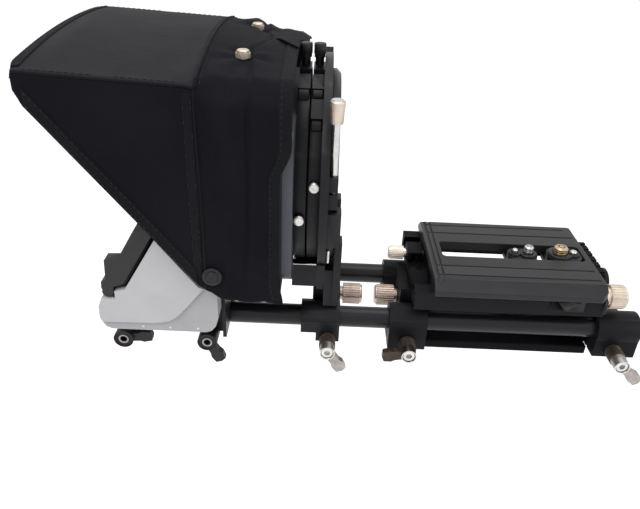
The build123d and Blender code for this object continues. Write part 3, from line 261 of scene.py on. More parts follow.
# material: the pieces that wear it; every other piece is "black"
PIECES_BY_MATERIAL = {
    "rod": "support_rods",
    "plate": "camera_plate",
    "frame_grey": "stage_front_frame front_filter_carrier rear_filter_carrier",
    "champagne": "rear_plate_lock_knob left_hood_screw right_hood_screw",
    "champagne_light": "front_plate_lock_knob",
    "black_deep": "plate_receiver base_plate",
    "black_dull": "front_rod_clamp rear_rod_clamp",
    "rose": "base_lock_knob foot_lock_knob",
    "brass": "rear_camera_screw",
    "steel": "ring_clamp_screw front_camera_screw rear_locating_pin front_locating_pin "
             "base_draw_bolts foot_draw_bolt front_stage_lock_pin rear_stage_lock_pin",
    "hub_brown": "base_front_lever",
    "satin": "base_rear_lever foot_lever",
    "screw_black": "prompter_draw_bolts front_stage_top_lock rear_stage_top_lock "
                   "flap_hinge_pin base_screws stage_screws tub_screws frame_screws",
    # the body tub gets the darker grey copy with painted shade
    "grey_painted_shade": "body_tub",
    "grey": "left_side_panel right_side_panel",
    "flap": "front_flap",
    "plastic": "prompter_front_lever prompter_rear_lever device_tray mirror_frame "
               "mirror_clips hood_snaps shroud_box",
    "glass": "beam_splitter_glass",
    "cloth": "hood_fabric hood_sleeve",
}
# bevel width: the pieces whose edges it softens
PIECES_BY_BEVEL = {
    0.3: "lens_clamp_ring",
    0.35: "left_side_panel right_side_panel",
    0.4: "rear_plate front_filter_stage rear_filter_stage rear_screw_carriage "
         "front_screw_carriage",
    0.5: "camera_plate base_plate",
    0.6: "prompter_front_clamp prompter_rear_clamp stage_upright stage_front_frame",
    0.7: "plate_receiver",
    0.8: "front_rod_clamp rear_rod_clamp matte_box_foot front_flap",
    0.9: "prompter_front_lever prompter_rear_lever base_front_lever base_rear_lever "
         "foot_lever",
}


def by_piece(groups):
    return {piece: key for key, pieces in groups.items() for piece in pieces.split()}


def soften_edges(ob, width):
    weld = ob.modifiers.new("weld", "WELD")
    weld.merge_threshold = 1e-6
    bevel = ob.modifiers.new("edge", "BEVEL")
    bevel.width = width * MM
    bevel.segments = 2
    bevel.limit_method = "ANGLE"
    bevel.angle_limit = math.radians(38)
    bevel.use_clamp_overlap = True
    bevel.harden_normals = False


piece_material = by_piece(PIECES_BY_MATERIAL)
piece_bevel = by_piece(PIECES_BY_BEVEL)
for name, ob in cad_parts.items():
    ob.data.materials.clear()
    ob.data.materials.append(MATERIALS[piece_material.get(name, "black")])
    if name in piece_bevel:
        soften_edges(ob, piece_bevel[name])


# ------------------------------------------------------------------ mesh helpers

def mesh_object(name, verts, faces, material, uvs=None):
    """A smooth-shaded object from points in mm; uvs holds one pair per vertex."""
    mesh = bpy.data.meshes.new(name)
    mesh.from_pydata([tuple(float(c) * MM for c in v) for v in verts], [],
                     [tuple(f) for f in faces])
    mesh.validate()
    if uvs is not None:
        layer = mesh.uv_layers.new(name="UVMap")
        for loop in mesh.loops:
            layer.data[loop.index].uv = uvs[loop.vertex_index]
    mesh.polygons.foreach_set("use_smooth", [True] * len(mesh.polygons))
    mesh.update()
    ob = bpy.data.objects.new(name, mesh)
    bpy.context.scene.collection.objects.link(ob)
    mesh.materials.append(MATERIALS[material])
    return ob


def mark_sharp(mesh, degrees):
    """Marks edges whose two faces meet at more than the given angle."""
    mesh.update()
    normals = [p.normal.copy() for p in mesh.polygons]
    users = {}
    for polygon in mesh.polygons:
        for key in polygon.edge_keys:
            users.setdefault(key, []).append(polygon.index)
    for edge in mesh.edges:
        pair = users.get(tuple(edge.key), [])
        if len(pair) == 2:
            if normals[pair[0]].angle(normals[pair[1]], 0) > math.radians(degrees):
                edge.use_edge_sharp = True


def cross_axes(axis):
    """Two unit directions square to a unit axis."""
    helper = np.array((0, 0, 1.0)) if abs(axis[2]) < 0.9 else np.array((1.0, 0, 0))
    first = np.cross(axis, helper)
    first /= np.linalg.norm(first)
    return first, np.cross(axis, first)


class Shapes:
    """Collects small shapes into one piece; each method returns self, so calls chain."""

    def __init__(self):
        self.verts, self.faces = [], []

    def add(self, verts, faces):
        start = len(self.verts)
        self.verts += [tuple(p) for p in verts]
        self.faces += [tuple(i + start for i in f) for f in faces]
        return self

    def turned(self, centre, axis, rings, n=32, flutes=None, caps=True):
        """rings: (distance along axis, radius); flutes: (count, depth, first, last ring)."""
        axis = np.array(axis, float)
        a, b = cross_axes(axis)
        centre = np.array(centre, float)
        verts, faces = [], []
        for k, (distance, radius) in enumerate(rings):
            for i in range(n):
                angle = 2 * math.pi * i / n
                reach = radius
                if flutes and flutes[2] <= k <= flutes[3]:
                    reach -= flutes[1] * (0.5 + 0.5 * math.cos(angle * flutes[0]))
                spoke = a * math.cos(angle) + b * math.sin(angle)
                verts.append(centre + axis * distance + spoke * reach)
        for k in range(len(rings) - 1):
            for i in range(n):
                j = (i + 1) % n
                faces.append((k * n + i, k * n + j, (k + 1) * n + j, (k + 1) * n + i))
        if caps:
            faces.append(tuple(range(n - 1, -1, -1)))
            faces.append(tuple((len(rings) - 1) * n + i for i in range(n)))
        return self.add(verts, faces)

    def block(self, low, high, chamfer):
        """Box with chamfered edges between two corners."""
        low, high = np.array(low, float), np.array(high, float)
        centre, half = (low + high) / 2, (high - low) / 2
        chamfer = min(chamfer, *(half * 0.6))
        signs = (-1, 1)
        corners = [(sx, sy, sz) for sx in signs for sy in signs for sz in signs]
        verts, index = [], {}
        for corner in corners:
            for axis in range(3):
                p = np.array(corner, float) * (half - chamfer)
                p[axis] = corner[axis] * half[axis]
                index[(*corner, axis)] = len(verts)
                verts.append(centre + p)
        flats, edges = [], []
        for axis in range(3):
            u, v = [k for k in range(3) if k != axis]

            def corner_at(s, su, sv):
                corner = [0, 0, 0]
                corner[axis], corner[u], corner[v] = s, su, sv
                return corner

            group = []
            for s in signs:
                group.append([index[(*corner_at(s, su, sv), axis)]
                              for su, sv in ((-1, -1), (1, -1), (1, 1), (-1, 1))])
            for su in signs:
                for sv in signs:
                    start, end = corner_at(-1, su, sv), corner_at(1, su, sv)
                    group.append((index[(*start, u)], index[(*end, u)],
                                  index[(*end, v)], index[(*start, v)]))
            flats += group
        tips = [tuple(index[(*corner, axis)] for axis in range(3)) for corner in corners]
        return self.add(verts, flats + edges + tips)

    def tube(self, points, radius, n=8):
        """Round cord through the points, capped at both ends."""
        points = [np.array(p, float) for p in points]
        last = len(points) - 1
        verts, faces = [], []
        a = None
        for i, p in enumerate(points):
            along = points[min(i + 1, last)] - points[max(i - 1, 0)]
            along /= (np.linalg.norm(along) + 1e-12)
            if a is None:
                a = cross_axes(along)[0]
            else:
                a = a - along * np.dot(a, along)
                a /= (np.linalg.norm(a) + 1e-12)
            b = np.cross(along, a)
            for k in range(n):
                angle = 2 * math.pi * k / n
                verts.append(p + (a * math.cos(angle) + b * math.sin(angle)) * radius)
        for i in range(last):
            for k in range(n):
                k2 = (k + 1) % n
                faces.append((i * n + k, i * n + k2, (i + 1) * n + k2, (i + 1) * n + k))
        faces.append(tuple(range(n - 1, -1, -1)))
        faces.append(tuple(last * n + k for k in range(n)))
        return self.add(verts, faces)

    def build(self, name, material, sharp=None):
        """sharp: angle in degrees above which edges are marked sharp."""
        ob = mesh_object(name, self.verts, self.faces, material)
        if sharp:
            mark_sharp(ob.data, sharp)
        return ob


def fit(ob, body):
    """Fixes a piece to a moving body."""
    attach(ob, body)


def cell(i, j, cols):
    """Corners of a grid cell: (i, j), next column, the one across, next row."""
    a = i * cols + j
    return a, a + 1, a + cols + 1, a + cols


def shell_faces(rows, cols):
    """Faces of a closed sheet: an outer grid of points followed by an inner one."""
    off = rows * cols
    faces = []
    for i in range(rows - 1):
        for j in range(cols - 1):
            a, b, c, d = cell(i, j, cols)
            faces += [(a, d, c, b), (a + off, b + off, c + off, d + off)]
    for i in range(rows - 1):
        for j in (0, cols - 1):
            a, _, _, d = cell(i, j, cols)
            faces.append((a, a + off, d + off, d) if j == 0 else (a, d, d + off, a + off))
    for j in range(cols - 1):
        for i in (0, rows - 1):
            a, b, _, _ = cell(i, j, cols)
            faces.append((a, b, b + off, a + off) if i == 0 else (a, a + off, b + off, b))
    return faces


# ------------------------------------------------------------------ shape of the fabric hood
# A point on the hood is (x, q). q runs 0..1 up the left side from the lower edge to the roof,
# 1..2 over the roof from left to right, and 2..3 down the right side.

HALF_WIDTH = 80.0
WIDTH = 2 * HALF_WIDTH
X_FRONT = -263.5       # front edge of the roof
X_HEM = -171.6         # rear end of the slanted hem
X_SEAM = -167.0        # seam between front hood and sleeve
X_KNEE = -158.0        # where the lower edge levels out
X_REAR = -117.5
HEM_RISE = 1.249       # rise of the slanted hem per mm towards the front
HEM_LOW_Z = 76.0
SLEEVE_LOW_Z = 66.0
FRONT_TOP_Z = 200.2
SEAM_TOP_Z = 196.0
SCREW_X, SCREW_Y = -146.5, 40   # hood screws in the roof, at both +Y and -Y
SCREW_SEAT_Z = 201.2            # height the cloth is drawn down to at the screws
SHOULDER_EASE = 0.25            # slack of the cloth round the shoulder
FRONT_ROUND = 7                 # length over which the front edge is rounded off


def smooth(t):
    t = max(0.0, min(1.0, t))
    return t * t * (3 - 2 * t)


def bell(x, centre, width):
    return math.exp(-((x - centre) / width) ** 2)


def waves(x, y, seed):
    """Irregular ripple: four crossing sine waves."""
    total = 0.0
    for k in range(4):
        angle = 1.7 * (k + 1) + seed * 2.13
        freq = 0.05 + 0.031 * k
        phase = x * freq * math.cos(angle) + y * freq * math.sin(angle) + angle * 3.1
        total += math.sin(phase) / (k + 1.2)
    return total


def tilt(x):
    """How much higher the roof lies at its far (right) edge."""
    raised = (6.0 + smooth((x + 168.0) / 12.0)) * (1 - smooth((x + 150.0) / 17.0))
    return raised - 2.2 * smooth((x + 134.0) / 18.0)


def edge_top(x, side=-1):
    """Height of the roof's side edges."""
    if x < X_SEAM:
        z = FRONT_TOP_Z + (x - X_FRONT) / (X_SEAM - X_FRONT) * (SEAM_TOP_Z - FRONT_TOP_Z)
    else:
        z = SEAM_TOP_Z - 0.4 * smooth((x - X_SEAM) / 10)
    return z + (tilt(x) if side > 0 else 0.0)


def edge_low(x):
    """Height of the lower edge of the sides."""
    if x < X_HEM:
        return HEM_LOW_Z + (X_HEM - x) * HEM_RISE
    if x < X_KNEE:
        return HEM_LOW_Z + (x - X_HEM) / (X_KNEE - X_HEM) * (SLEEVE_LOW_Z - HEM_LOW_Z)
    return SLEEVE_LOW_Z - 0.9 * math.sin((x - X_KNEE) / 41.0 * math.pi * 1.5)


def side_height(x, side):
    return edge_top(x, side) - edge_low(x)


def crown(x):
    """Rise of the roof's middle over its edges."""
    front = 4.8 + 5.2 * smooth((x - X_FRONT) / 22.0)
    return front + (6.8 - front) * smooth((x + 170.0) / 22.0)


def roof_height(x, y):
    return (edge_top(x) + tilt(x) * (y + HALF_WIDTH) / WIDTH
            + crown(x) * (1 - (y / HALF_WIDTH) ** 2))


def shoulder_radius(x):
    return 3.2 + 9.6 * smooth((x + 174.0) / 15.0)


def front_side_relief(x, z, t, side):
    u = (x - X_FRONT) / (X_SEAM - X_FRONT)
    # the panel hangs slightly hollow between its edges
    d = -1.9 * math.sin(math.pi * min(1, max(0, t))) * math.sin(math.pi * smooth(u)) ** 0.8
    d += 0.42 * waves(x, z, 1 + side) * smooth((1 - t) * 5) * smooth(t * 6) * smooth(u * 5)
    # long tension creases parallel to the slanted hem; s is the distance from it
    s = (x - X_HEM) * 0.7806 + (z - HEM_LOW_Z) * 0.6247
    d += (0.5 * math.sin(s / 5.2 + 0.6 * math.sin(z / 23.0)) * bell(s, 17, 11)
          * smooth(u * 3) * 0.6)
    # slight swell along the vertical seam
    return d + 0.45 * bell(x, X_SEAM - 4.0, 2.6) * smooth(t * 4)


def sleeve_side_relief(x, z, t, side):
    top = edge_top(x, side)
    # gathered cloth just behind the seam
    gather = smooth((x - X_SEAM) / 4.0) * (1 - smooth((x + 146.0) / 7.0))
    pleats = (0.75 * math.sin(x / 3.1 + 1.5 * math.sin(z / 23.0 + side))
              * (0.25 + 0.75 * bell(z, top - 20, 30)))
    d = gather * (pleats + 0.55 * waves(x * 1.5, z * 0.8, 4 + side)) - 0.5 * gather
    # a full, soft bulge where the cloth turns over the shoulder, drawn in below it
    d += 3.0 * bell(x, -152.0, 8.0) * bell(z, top - 18, 11)
    d -= 2.2 * bell(x, -160.5, 5.5) * bell(z, top - 42, 18)
    d += 1.5 * bell(x, -131.0, 7.0) * bell(z, top - 26, 14)
    # the lap of the rear part runs down in a slack curve, with a groove before it
    lap = (-140.5 + 2.4 * math.sin((z - 66.0) / 38.0 + 0.6 * side)
           + 1.6 * smooth((t - 0.8) / 0.2))
    d += (1.5 * smooth((x - lap + 1.1) / 2.2) * (1 - 0.75 * smooth((x - lap - 1.0) / 12.0))
          * smooth(t * 5) * (0.5 + 0.5 * t))
    d -= 1.2 * bell(x, lap - 1.9, 1.2) * smooth(t * 5) * (0.4 + 0.6 * t)
    # one upright fold, then ripples over the rear part
    d += 0.5 * bell(x, -151.5 + 2.2 * math.sin(z / 31.0 + 2), 2.4) * (0.5 + 0.5 * t)
    d += 0.4 * (waves(x * 1.2, z * 0.8, 7 + side) + 1.2) * smooth((x + 150) / 6)
    # a slanting drag fold low down, and the loose lower corner kicks out
    drag = (x + 146.0) * 0.45 + (z - 92.0) * 0.9
    d += 0.7 * bell(drag, 0, 4.0) * smooth((x + 160) / 10)
    d += 3.0 * smooth((x + 132.0) / 12.0) * smooth((0.13 - t) / 0.13)
    # pucker at the roof edge
    return d + (0.9 * bell(t, 0.93, 0.06) * (0.6 + 0.4 * math.sin(x / 3.0))
                * smooth((x + 166) / 5))


def side_relief(x, z, side):
    """Outward displacement of a side panel; t is the share of its height."""
    t = (z - edge_low(x)) / side_height(x, side)
    relief = front_side_relief if x < X_SEAM else sleeve_side_relief
    return relief(x, z, t, side)


def front_roof_relief(x, y):
    u = (x - X_FRONT) / (X_SEAM - X_FRONT)
    # a sag in the middle, ripples, and creases before the seam
    d = -1.6 * math.sin(math.pi * u) * (1 - (y / HALF_WIDTH) ** 2)
    d += 0.35 * waves(x, y, 11) * smooth(u * 5) * smooth((1 - u) * 5)
    return d + 0.35 * math.sin((x + 0.4 * abs(y)) / 6.0) * bell(x, X_SEAM - 9, 9)


def sleeve_roof_relief(x, y):
    d = 0.0
    # the cloth is drawn down at each screw, with creases fanning out round it
    for screw_y in (-SCREW_Y, SCREW_Y):
        dx, dy = x - SCREW_X, y - screw_y
        r = math.hypot(dx, dy) + 1e-6
        d -= max(0.0, roof_height(SCREW_X, screw_y) - SCREW_SEAT_Z) * bell(r, 0, 9.0)
        d += 0.8 * math.cos(math.atan2(dy, dx) * 5 + screw_y) * bell(r, 11, 6.5)
    # gathers behind the seam and ripples
    behind_seam = smooth((x - X_SEAM) / 4.0)
    d += (behind_seam * 0.7 * math.sin(x / 3.6 + 1.2 * math.sin(y / 13.0))
          * (1 - smooth((x + 150) / 5)) * (0.3 + 0.7 * bell(abs(y), 62, 22)))
    d += behind_seam * 0.40 * (waves(x * 1.3, y * 1.0, 13) + 1.0)
    # the lap of the rear part, with a groove before it
    lap = -139.5 + 1.8 * math.sin(y / 17.0) + 5.0 * smooth((30 - abs(y)) / 25)
    d += 1.2 * smooth((x - lap + 1.0) / 2.0) * (1 - 0.8 * smooth((x - lap - 1.0) / 10.0))
    return d - 0.8 * bell(x, lap - 1.9, 1.2)


def roof_relief(x, y):
    """Displacement of the roof along its normal."""
    return front_roof_relief(x, y) if x < X_SEAM else sleeve_roof_relief(x, y)


def wrap(t, side):
    """q for the share t of a side's height; t over 1 reaches on over the roof."""
    return t if side < 0 else 3.0 - t


def rear_pull(x, q):
    """Shift in x: the rear edge stands further forward on the sides than over the roof."""
    t = q if q <= 1.0 else (3.0 - q if q >= 2.0 else 1.0)
    upper = smooth((t - 0.60) / 0.16)
    low = smooth((0.12 - t) / 0.12)
    shift = -5.6 * (1 - upper) * (1 - low) - 2.8 * low + 1.0 * upper
    return smooth((x + 142.0) / 24.0) * shift


def shoulder(x, side, angle):
    """Centre of the rounded shoulder, and its outward direction at an angle over level."""
    radius = shoulder_radius(x)
    centre = np.array((x, side * (HALF_WIDTH - radius), edge_top(x, side) - radius))
    return centre, np.array((0, side * math.cos(angle), math.sin(angle)))


def side_point(x, t, side, lift):
    height = side_height(x, side)
    z = edge_low(x) + height * t
    relief = side_relief(x, z, side)
    below = (1 - t) * height
    radius = shoulder_radius(x)
    if below >= radius:
        return np.array((x, side * (HALF_WIDTH + relief + lift), z))
    centre, outward = shoulder(x, side, (1 - below / radius) * math.pi / 4)
    relief *= 0.45 + 0.55 * smooth(below / radius)
    return centre + outward * (radius + SHOULDER_EASE + relief + lift)


def roof_point(x, y, lift):
    side = -1 if y < 0 else 1
    inset = HALF_WIDTH - abs(y)
    rise = tilt(x) / WIDTH
    normal = np.array((0, 2 * crown(x) * y / HALF_WIDTH ** 2 - rise, 1.0))
    normal /= np.linalg.norm(normal)
    radius = shoulder_radius(x)
    relief = roof_relief(x, y) * smooth((inset - 0.3 * radius) / 8.0)
    if inset >= radius:
        return np.array((x, y, roof_height(x, y))) + normal * (relief + lift)
    share = inset / radius
    centre, outward = shoulder(x, side, math.pi / 4 + share * math.pi / 4)
    # raised towards the crowned roof, so that the two meet
    crown_there = crown(x) * (1 - ((HALF_WIDTH - radius) / HALF_WIDTH) ** 2)
    step = np.array((0, 0, (crown_there - side * rise * radius) * share))
    side_share = side_relief(x, edge_top(x, side) - 0.5, side) * 0.45 * (1 - share)
    reach = radius + SHOULDER_EASE + side_share + lift
    return centre + outward * reach + step + normal * relief


def hood_point(x, q, lift=0.0):
    """Point on the outer face of the cloth, raised by lift along its outward direction."""
    on_roof = 1.0 < q < 2.0
    if on_roof:
        p = roof_point(x, -HALF_WIDTH + WIDTH * (q - 1.0), lift)
    elif q <= 1.0:
        p = side_point(x, q, -1, lift)
    else:
        p = side_point(x, 3.0 - q, 1, lift)
    p[0] += rear_pull(x, q)
    # the front edge drops a little and its corners are softly rounded off
    if x < X_FRONT + FRONT_ROUND:
        k = 1 - (x - X_FRONT) / FRONT_ROUND
        corner = smooth((14 - (HALF_WIDTH - abs(p[1]))) / 14) if on_roof else 1.0
        p[0] += 3.5 * k * corner
        p[2] -= 0.8 * k * k
    return p


def hood_normal(x, q):
    dx, dq = 0.4, 0.004
    along = hood_point(min(X_REAR, x + dx), q) - hood_point(max(X_FRONT, x - dx), q)
    across = hood_point(x, min(3.0, q + dq)) - hood_point(x, max(0.0, q - dq))
    n = np.cross(across, along)
    length = np.linalg.norm(n)
    n = n / length if length > 1e-9 else np.array((0, 0, 1.0))
    if q < 1:
        outward = np.array((0, -1.0, 0))
    else:
        outward = np.array((0, 1.0, 0)) if q > 2 else np.array((0, 0, 1.0))
    return n if np.dot(n, outward) > 0 else -n


# ------------------------------------------------------------------ hood cover

def spread(start, end, n, extras):
    """n samples from start to end, plus extras: (centre, half width, count)."""
    samples = list(np.linspace(start, end, n))
    for centre, half, count in extras:
        samples += list(np.linspace(max(start, centre - half), min(end, centre + half), count))
    samples.sort()
    kept = [samples[0]]
    for value in samples[1:]:
        if value - kept[-1] > (end - start) / n * 0.12:
            kept.append(value)
    kept[-1] = end
    return kept


def cover_stations():
    """q values of the cover, closest at the lower edges and the shoulders."""
    left = ([0.0, 0.015, 0.03, 0.05] + list(np.linspace(0.075, 0.90, 34))
            + [0.92, 0.94, 0.955, 0.97, 0.98, 0.99, 1.0])
    roof = ([1.005, 1.01, 1.015, 1.02, 1.03, 1.045] + list(np.linspace(1.055, 1.945, 56))
            + [1.955, 1.97, 1.98, 1.985, 1.99, 1.995])
    right = [3.0 - q for q in left]
    return sorted(set(round(q, 6) for q in left + roof + right))


def cloth_uv(x, q):
    """The cloth laid flat, in metres."""
    if q <= 1:
        v = -(1 - q) * side_height(x, -1)
    elif q >= 2:
        v = WIDTH + (q - 2) * side_height(x, 1)
    else:
        v = (q - 1) * WIDTH
    return x * MM, v * MM


def build_cover():
    """The whole hood as one closed sheet, with the front roof in a lighter copy of the cloth
    that paints on the light falling on the roof.
    """
    thickness = 1.3
    xs = spread(X_FRONT, X_REAR, 100, extras=(
        (X_SEAM, 5, 10), (-140, 8, 18), (-151, 5, 8), (X_FRONT + 4, 4, 6)))
    qs = cover_stations()
    outer, inner, uvs = [], [], []
    for x in xs:
        for q in qs:
            p = hood_point(x, q)
            outer.append(p)
            inner.append(p - hood_normal(x, q) * thickness)
            uvs.append(cloth_uv(x, q))
    faces = shell_faces(len(xs), len(qs))
    # slot 1 is the lighter roof copy of the cloth, with painted light; each cell has an outer
    # and an inner face
    slots = []
    for x in xs[:-1]:
        for q, q_next in zip(qs, qs[1:]):
            slots += [int(1.0 <= (q + q_next) / 2 <= 2.0 and x < X_SEAM), 0]
    slots += [0] * (len(faces) - len(slots))
    ob = mesh_object("hood_cover", outer + inner, faces, "cloth", uvs + uvs)
    ob.data.materials.append(MATERIALS["cloth_roof_painted_light"])
    ob.data.polygons.foreach_set("material_index", slots[:len(ob.data.polygons)])
    return ob


hood = build_cover()
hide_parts("hood_fabric", "hood_sleeve")
cloth_pieces = [hood]

# ------------------------------------------------------------------ hems, seams and stitches

HEM_STEPS = (0.15, 0.7, 2.2, 4.0, 5.8, 6.6, 7.0)        # distances in from the edge
REAR_HEM_STEPS = (0.15, 0.6, 2.0, 4.0, 6.0, 6.6, 7.2)
FELL_STEPS = (0, 0.5, 1.8, 3.2, 4.4, 5.0)
FELL_X = X_SEAM - 1.2
HEM_THREAD, SEAM_THREAD = 0.24, 0.22                    # thread radii
HEM_ROWS = (1.5, 5.9)                                   # rows of stitches, in from the edge


def hem_q(x, distance, side):
    """q at a distance in from the slanted hem; 1.6 turns it into height."""
    return wrap(distance * 1.6 / side_height(x, side), side)


def band_faces(rows, cols):
    off = rows * cols
    faces = []
    for i in range(rows - 1):
        for j in range(cols - 1):
            a, b, c, d = cell(i, j, cols)
            faces += [(a, b, c, d), (a + off, d + off, c + off, b + off)]
        for j in (0, cols - 1):
            a, _, _, d = cell(i, j, cols)
            faces.append((a, a + off, d + off, d))
    for j in range(cols - 1):
        for i in (0, rows - 1):
            a, b, _, _ = cell(i, j, cols)
            faces.append((a, b, b + off, a + off))
    return faces


def add_band(name, rows, thickness):
    """A folded band on the cloth; each row lists (x, q) across it."""
    cols = len(rows[0])
    outer, inner, uvs = [], [], []
    for i, row in enumerate(rows):
        for j, (x, q) in enumerate(row):
            n = hood_normal(x, q)
            p = hood_point(x, q)
            at_edge = j in (0, cols - 1)
            outer.append(p + n * (thickness * (0.35 if at_edge else 1.0)))
            inner.append(p + n * -0.15)
            uvs.append((i * 2.0 * MM, j * 2.0 * MM))
    ob = mesh_object(name, outer + inner, band_faces(len(rows), cols), "cloth_hem", uvs + uvs)
    bm = bmesh.new()
    bm.from_mesh(ob.data)
    bmesh.ops.recalc_face_normals(bm, faces=bm.faces)
    bm.to_mesh(ob.data)
    bm.free()
    cloth_pieces.append(ob)


for side, side_name in SIDES:
    add_band(side_name + "_slanted_hem",
             [[(x, hem_q(x, d, side)) for d in HEM_STEPS]
              for x in np.linspace(X_FRONT + 8, X_HEM - 0.2, 70)], thickness=0.75)
add_band("front_hem", [[(X_FRONT + d, q) for d in HEM_STEPS]
                       for q in np.linspace(1.03, 1.97, 80)], thickness=0.75)
add_band("rear_hem", [[(X_REAR - d, q) for d in REAR_HEM_STEPS]
                      for q in np.linspace(0.02, 2.98, 220)], thickness=0.6)


def build_cords():
    """Corded seams along both shoulders, across the roof and down the sides."""
    cords = Shapes()
    for side, _ in SIDES:
        cords.tube([hood_point(x, wrap(1.0, side), 0.35)
                    for x in np.linspace(X_FRONT + 1.5, X_SEAM, 60)], radius=0.85)
    cords.tube([hood_point(X_SEAM, q, 0.3) for q in np.linspace(1.0, 2.0, 90)], radius=0.8)
    for side, _ in SIDES:
        cords.tube([hood_point(X_SEAM + 0.5 * math.sin(t * 5), wrap(t, side), 0.2)
                    for t in np.linspace(0.01, 1.0, 70)], radius=0.65)
    return cords.build("seam_cords", "cloth_hem")


cloth_pieces.append(build_cords())

# flat felled seams in front of the vertical cords
for side, side_name in SIDES:
    add_band(side_name + "_felled_seam",
             [[(FELL_X - d, wrap(t, side)) for d in FELL_STEPS]
              for t in np.linspace(0.06, 0.97, 80)], thickness=0.35)


def sew(thread, path, lift, radius):
    """Adds short thread lengths along a path of (x, q)."""
    stitch, gap, step = 2.3, 1.3, 0.35
    points = [hood_point(x, q) + hood_normal(x, q) * lift for x, q in path]
    travelled, runs, run = 0.0, [], []
    for a, b in zip(points, points[1:]):
        length = np.linalg.norm(b - a)
        n = max(1, int(length / step))
        for k in range(n):
            if travelled % (stitch + gap) < stitch:
                run.append(a + (b - a) * k / n)
            else:
                runs.append(run)
                run = []
            travelled += length / n
    runs.append(run)
    for run in runs:
        if len(run) > 3:
            thread.tube(run[::max(1, len(run) // 3)], radius, n=5)


def build_stitching():
    thread = Shapes()
    for side, _ in SIDES:
        for d in HEM_ROWS:
            sew(thread, [(x, hem_q(x, d, side))
                         for x in np.linspace(X_FRONT + 9, X_HEM - 1, 160)], 0.88, HEM_THREAD)
        for d in (0.9, 5.3):
            sew(thread, [(FELL_X - d * 0.9, wrap(t, side))
                         for t in np.linspace(0.07, 0.965, 160)], 0.48, SEAM_THREAD)
        # along the shoulder, 2.2 mm in on the roof
        sew(thread, [(x, wrap(1.0 + 2.2 / WIDTH, side))
                     for x in np.linspace(X_FRONT + 9, X_SEAM - 3, 140)], 0.15, SEAM_THREAD)
    for d in HEM_ROWS:
        sew(thread, [(X_FRONT + d, q) for q in np.linspace(1.035, 1.965, 200)],
            0.88, HEM_THREAD)
    for d in (-2.2, 2.2):
        sew(thread, [(X_SEAM + d, q) for q in np.linspace(1.02, 1.98, 200)],
            0.12, SEAM_THREAD)
    sew(thread, [(X_REAR - 5.6, q) for q in np.linspace(0.03, 2.97, 420)], 0.74, SEAM_THREAD)
    return thread.build("hood_stitching", "thread")


cloth_pieces.append(build_stitching())
for ob in cloth_pieces:
    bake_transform(ob)


# ------------------------------------------------------------------ rear lap of the roof

def tab_point(u, v, lift):
    """Slack lap on the far half of the roof; u 0..1 backwards, v 0..1 across."""
    y_near, y_far = 13.0 - 32.0 * u, 70.0 - 22.0 * u
    y = y_near + (y_far - y_near) * v
    x = -138.0 + (21.4 + 5.8 * smooth((y - 5.5) / 6.5)) * u + 0.4 * math.sin(v * 7)
    z = roof_height(min(x, -118), y)
    # arches up backwards, then drops at its rear edge
    z += -1.3 + 3.1 * smooth(u / 0.5) - 2.2 * smooth((x + 116.5) / 6.0)
    z += 0.25 * math.sin(v * 9 + u * 2)
    # near edge curls up, far edge hangs
    z += 0.9 * bell(v, 0.0, 0.10) * smooth(u * 6) - 1.5 * smooth((v - 0.9) / 0.1)
    return np.array((x, y, z + lift))


def build_tab():
    half_thickness = 0.75
    length, width = 28, 80      # of the cloth laid flat
    steps_u, steps_v = 22, 44
    verts, uvs = [], []
    for face in (1, -1):
        for i in range(steps_u + 1):
            for j in range(steps_v + 1):
                u, v = i / steps_u, j / steps_v
                inside = min(1, 6 * min(v, 1 - v), 5 * (1 - u) + 0.35)
                verts.append(tab_point(u, v, face * half_thickness * (0.4 + 0.6 * inside)))
                uvs.append((u * length * MM, v * width * MM))
    faces = shell_faces(steps_u + 1, steps_v + 1)
    return mesh_object("rear_roof_tab", verts, faces, "cloth", uvs)


fit(build_tab(), "stage")

# ------------------------------------------------------------------ press studs

STUD_RINGS = ((0.0, 5.9), (0.7, 5.9), (1.1, 5.5), (1.2, 4.6), (0.8, 4.2), (0.75, 3.4),
              (1.3, 3.0), (1.6, 2.2), (1.5, 1.3), (1.1, 0.9))

# over the lower corners of the hood
for side, side_name in SIDES:
    stud = Shapes().turned((-162.6, side * 81.0, 83.0), (0, side, 0), STUD_RINGS, n=40)
    stud_ob = stud.build(side_name + "_press_stud", "plastic", sharp=50)
    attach(stud_ob, "prompter")
    if side < 0:
        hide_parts("hood_snaps")

# ------------------------------------------------------------------ metal levers

LEVER_Z = 10.5
SLEEVE_Y = -42.6
SLEEVE_LENGTH = 8.9
SLEEVE_PITCH = 1.1
HUB_FACE_Y = -58.5
ARM_Y = -54.9
FINGER_PITCH = 1.5
FINGER_HALF = 3.1       # half length of a finger rib
# lever, x, extra reach of the hub, arm angle, radii between which the ribs lie, rib material
LEVERS = (
    ("base_front_lever", -35.2, 0.0, 188, 9.0, 16.5, "hub_brown"),
    ("base_rear_lever", 110.0, 2.0, -43, 14.0, 19.0, "satin"),
    ("foot_lever", -91.3, 0.0, -56, 12.5, 17.5, "satin"),
)


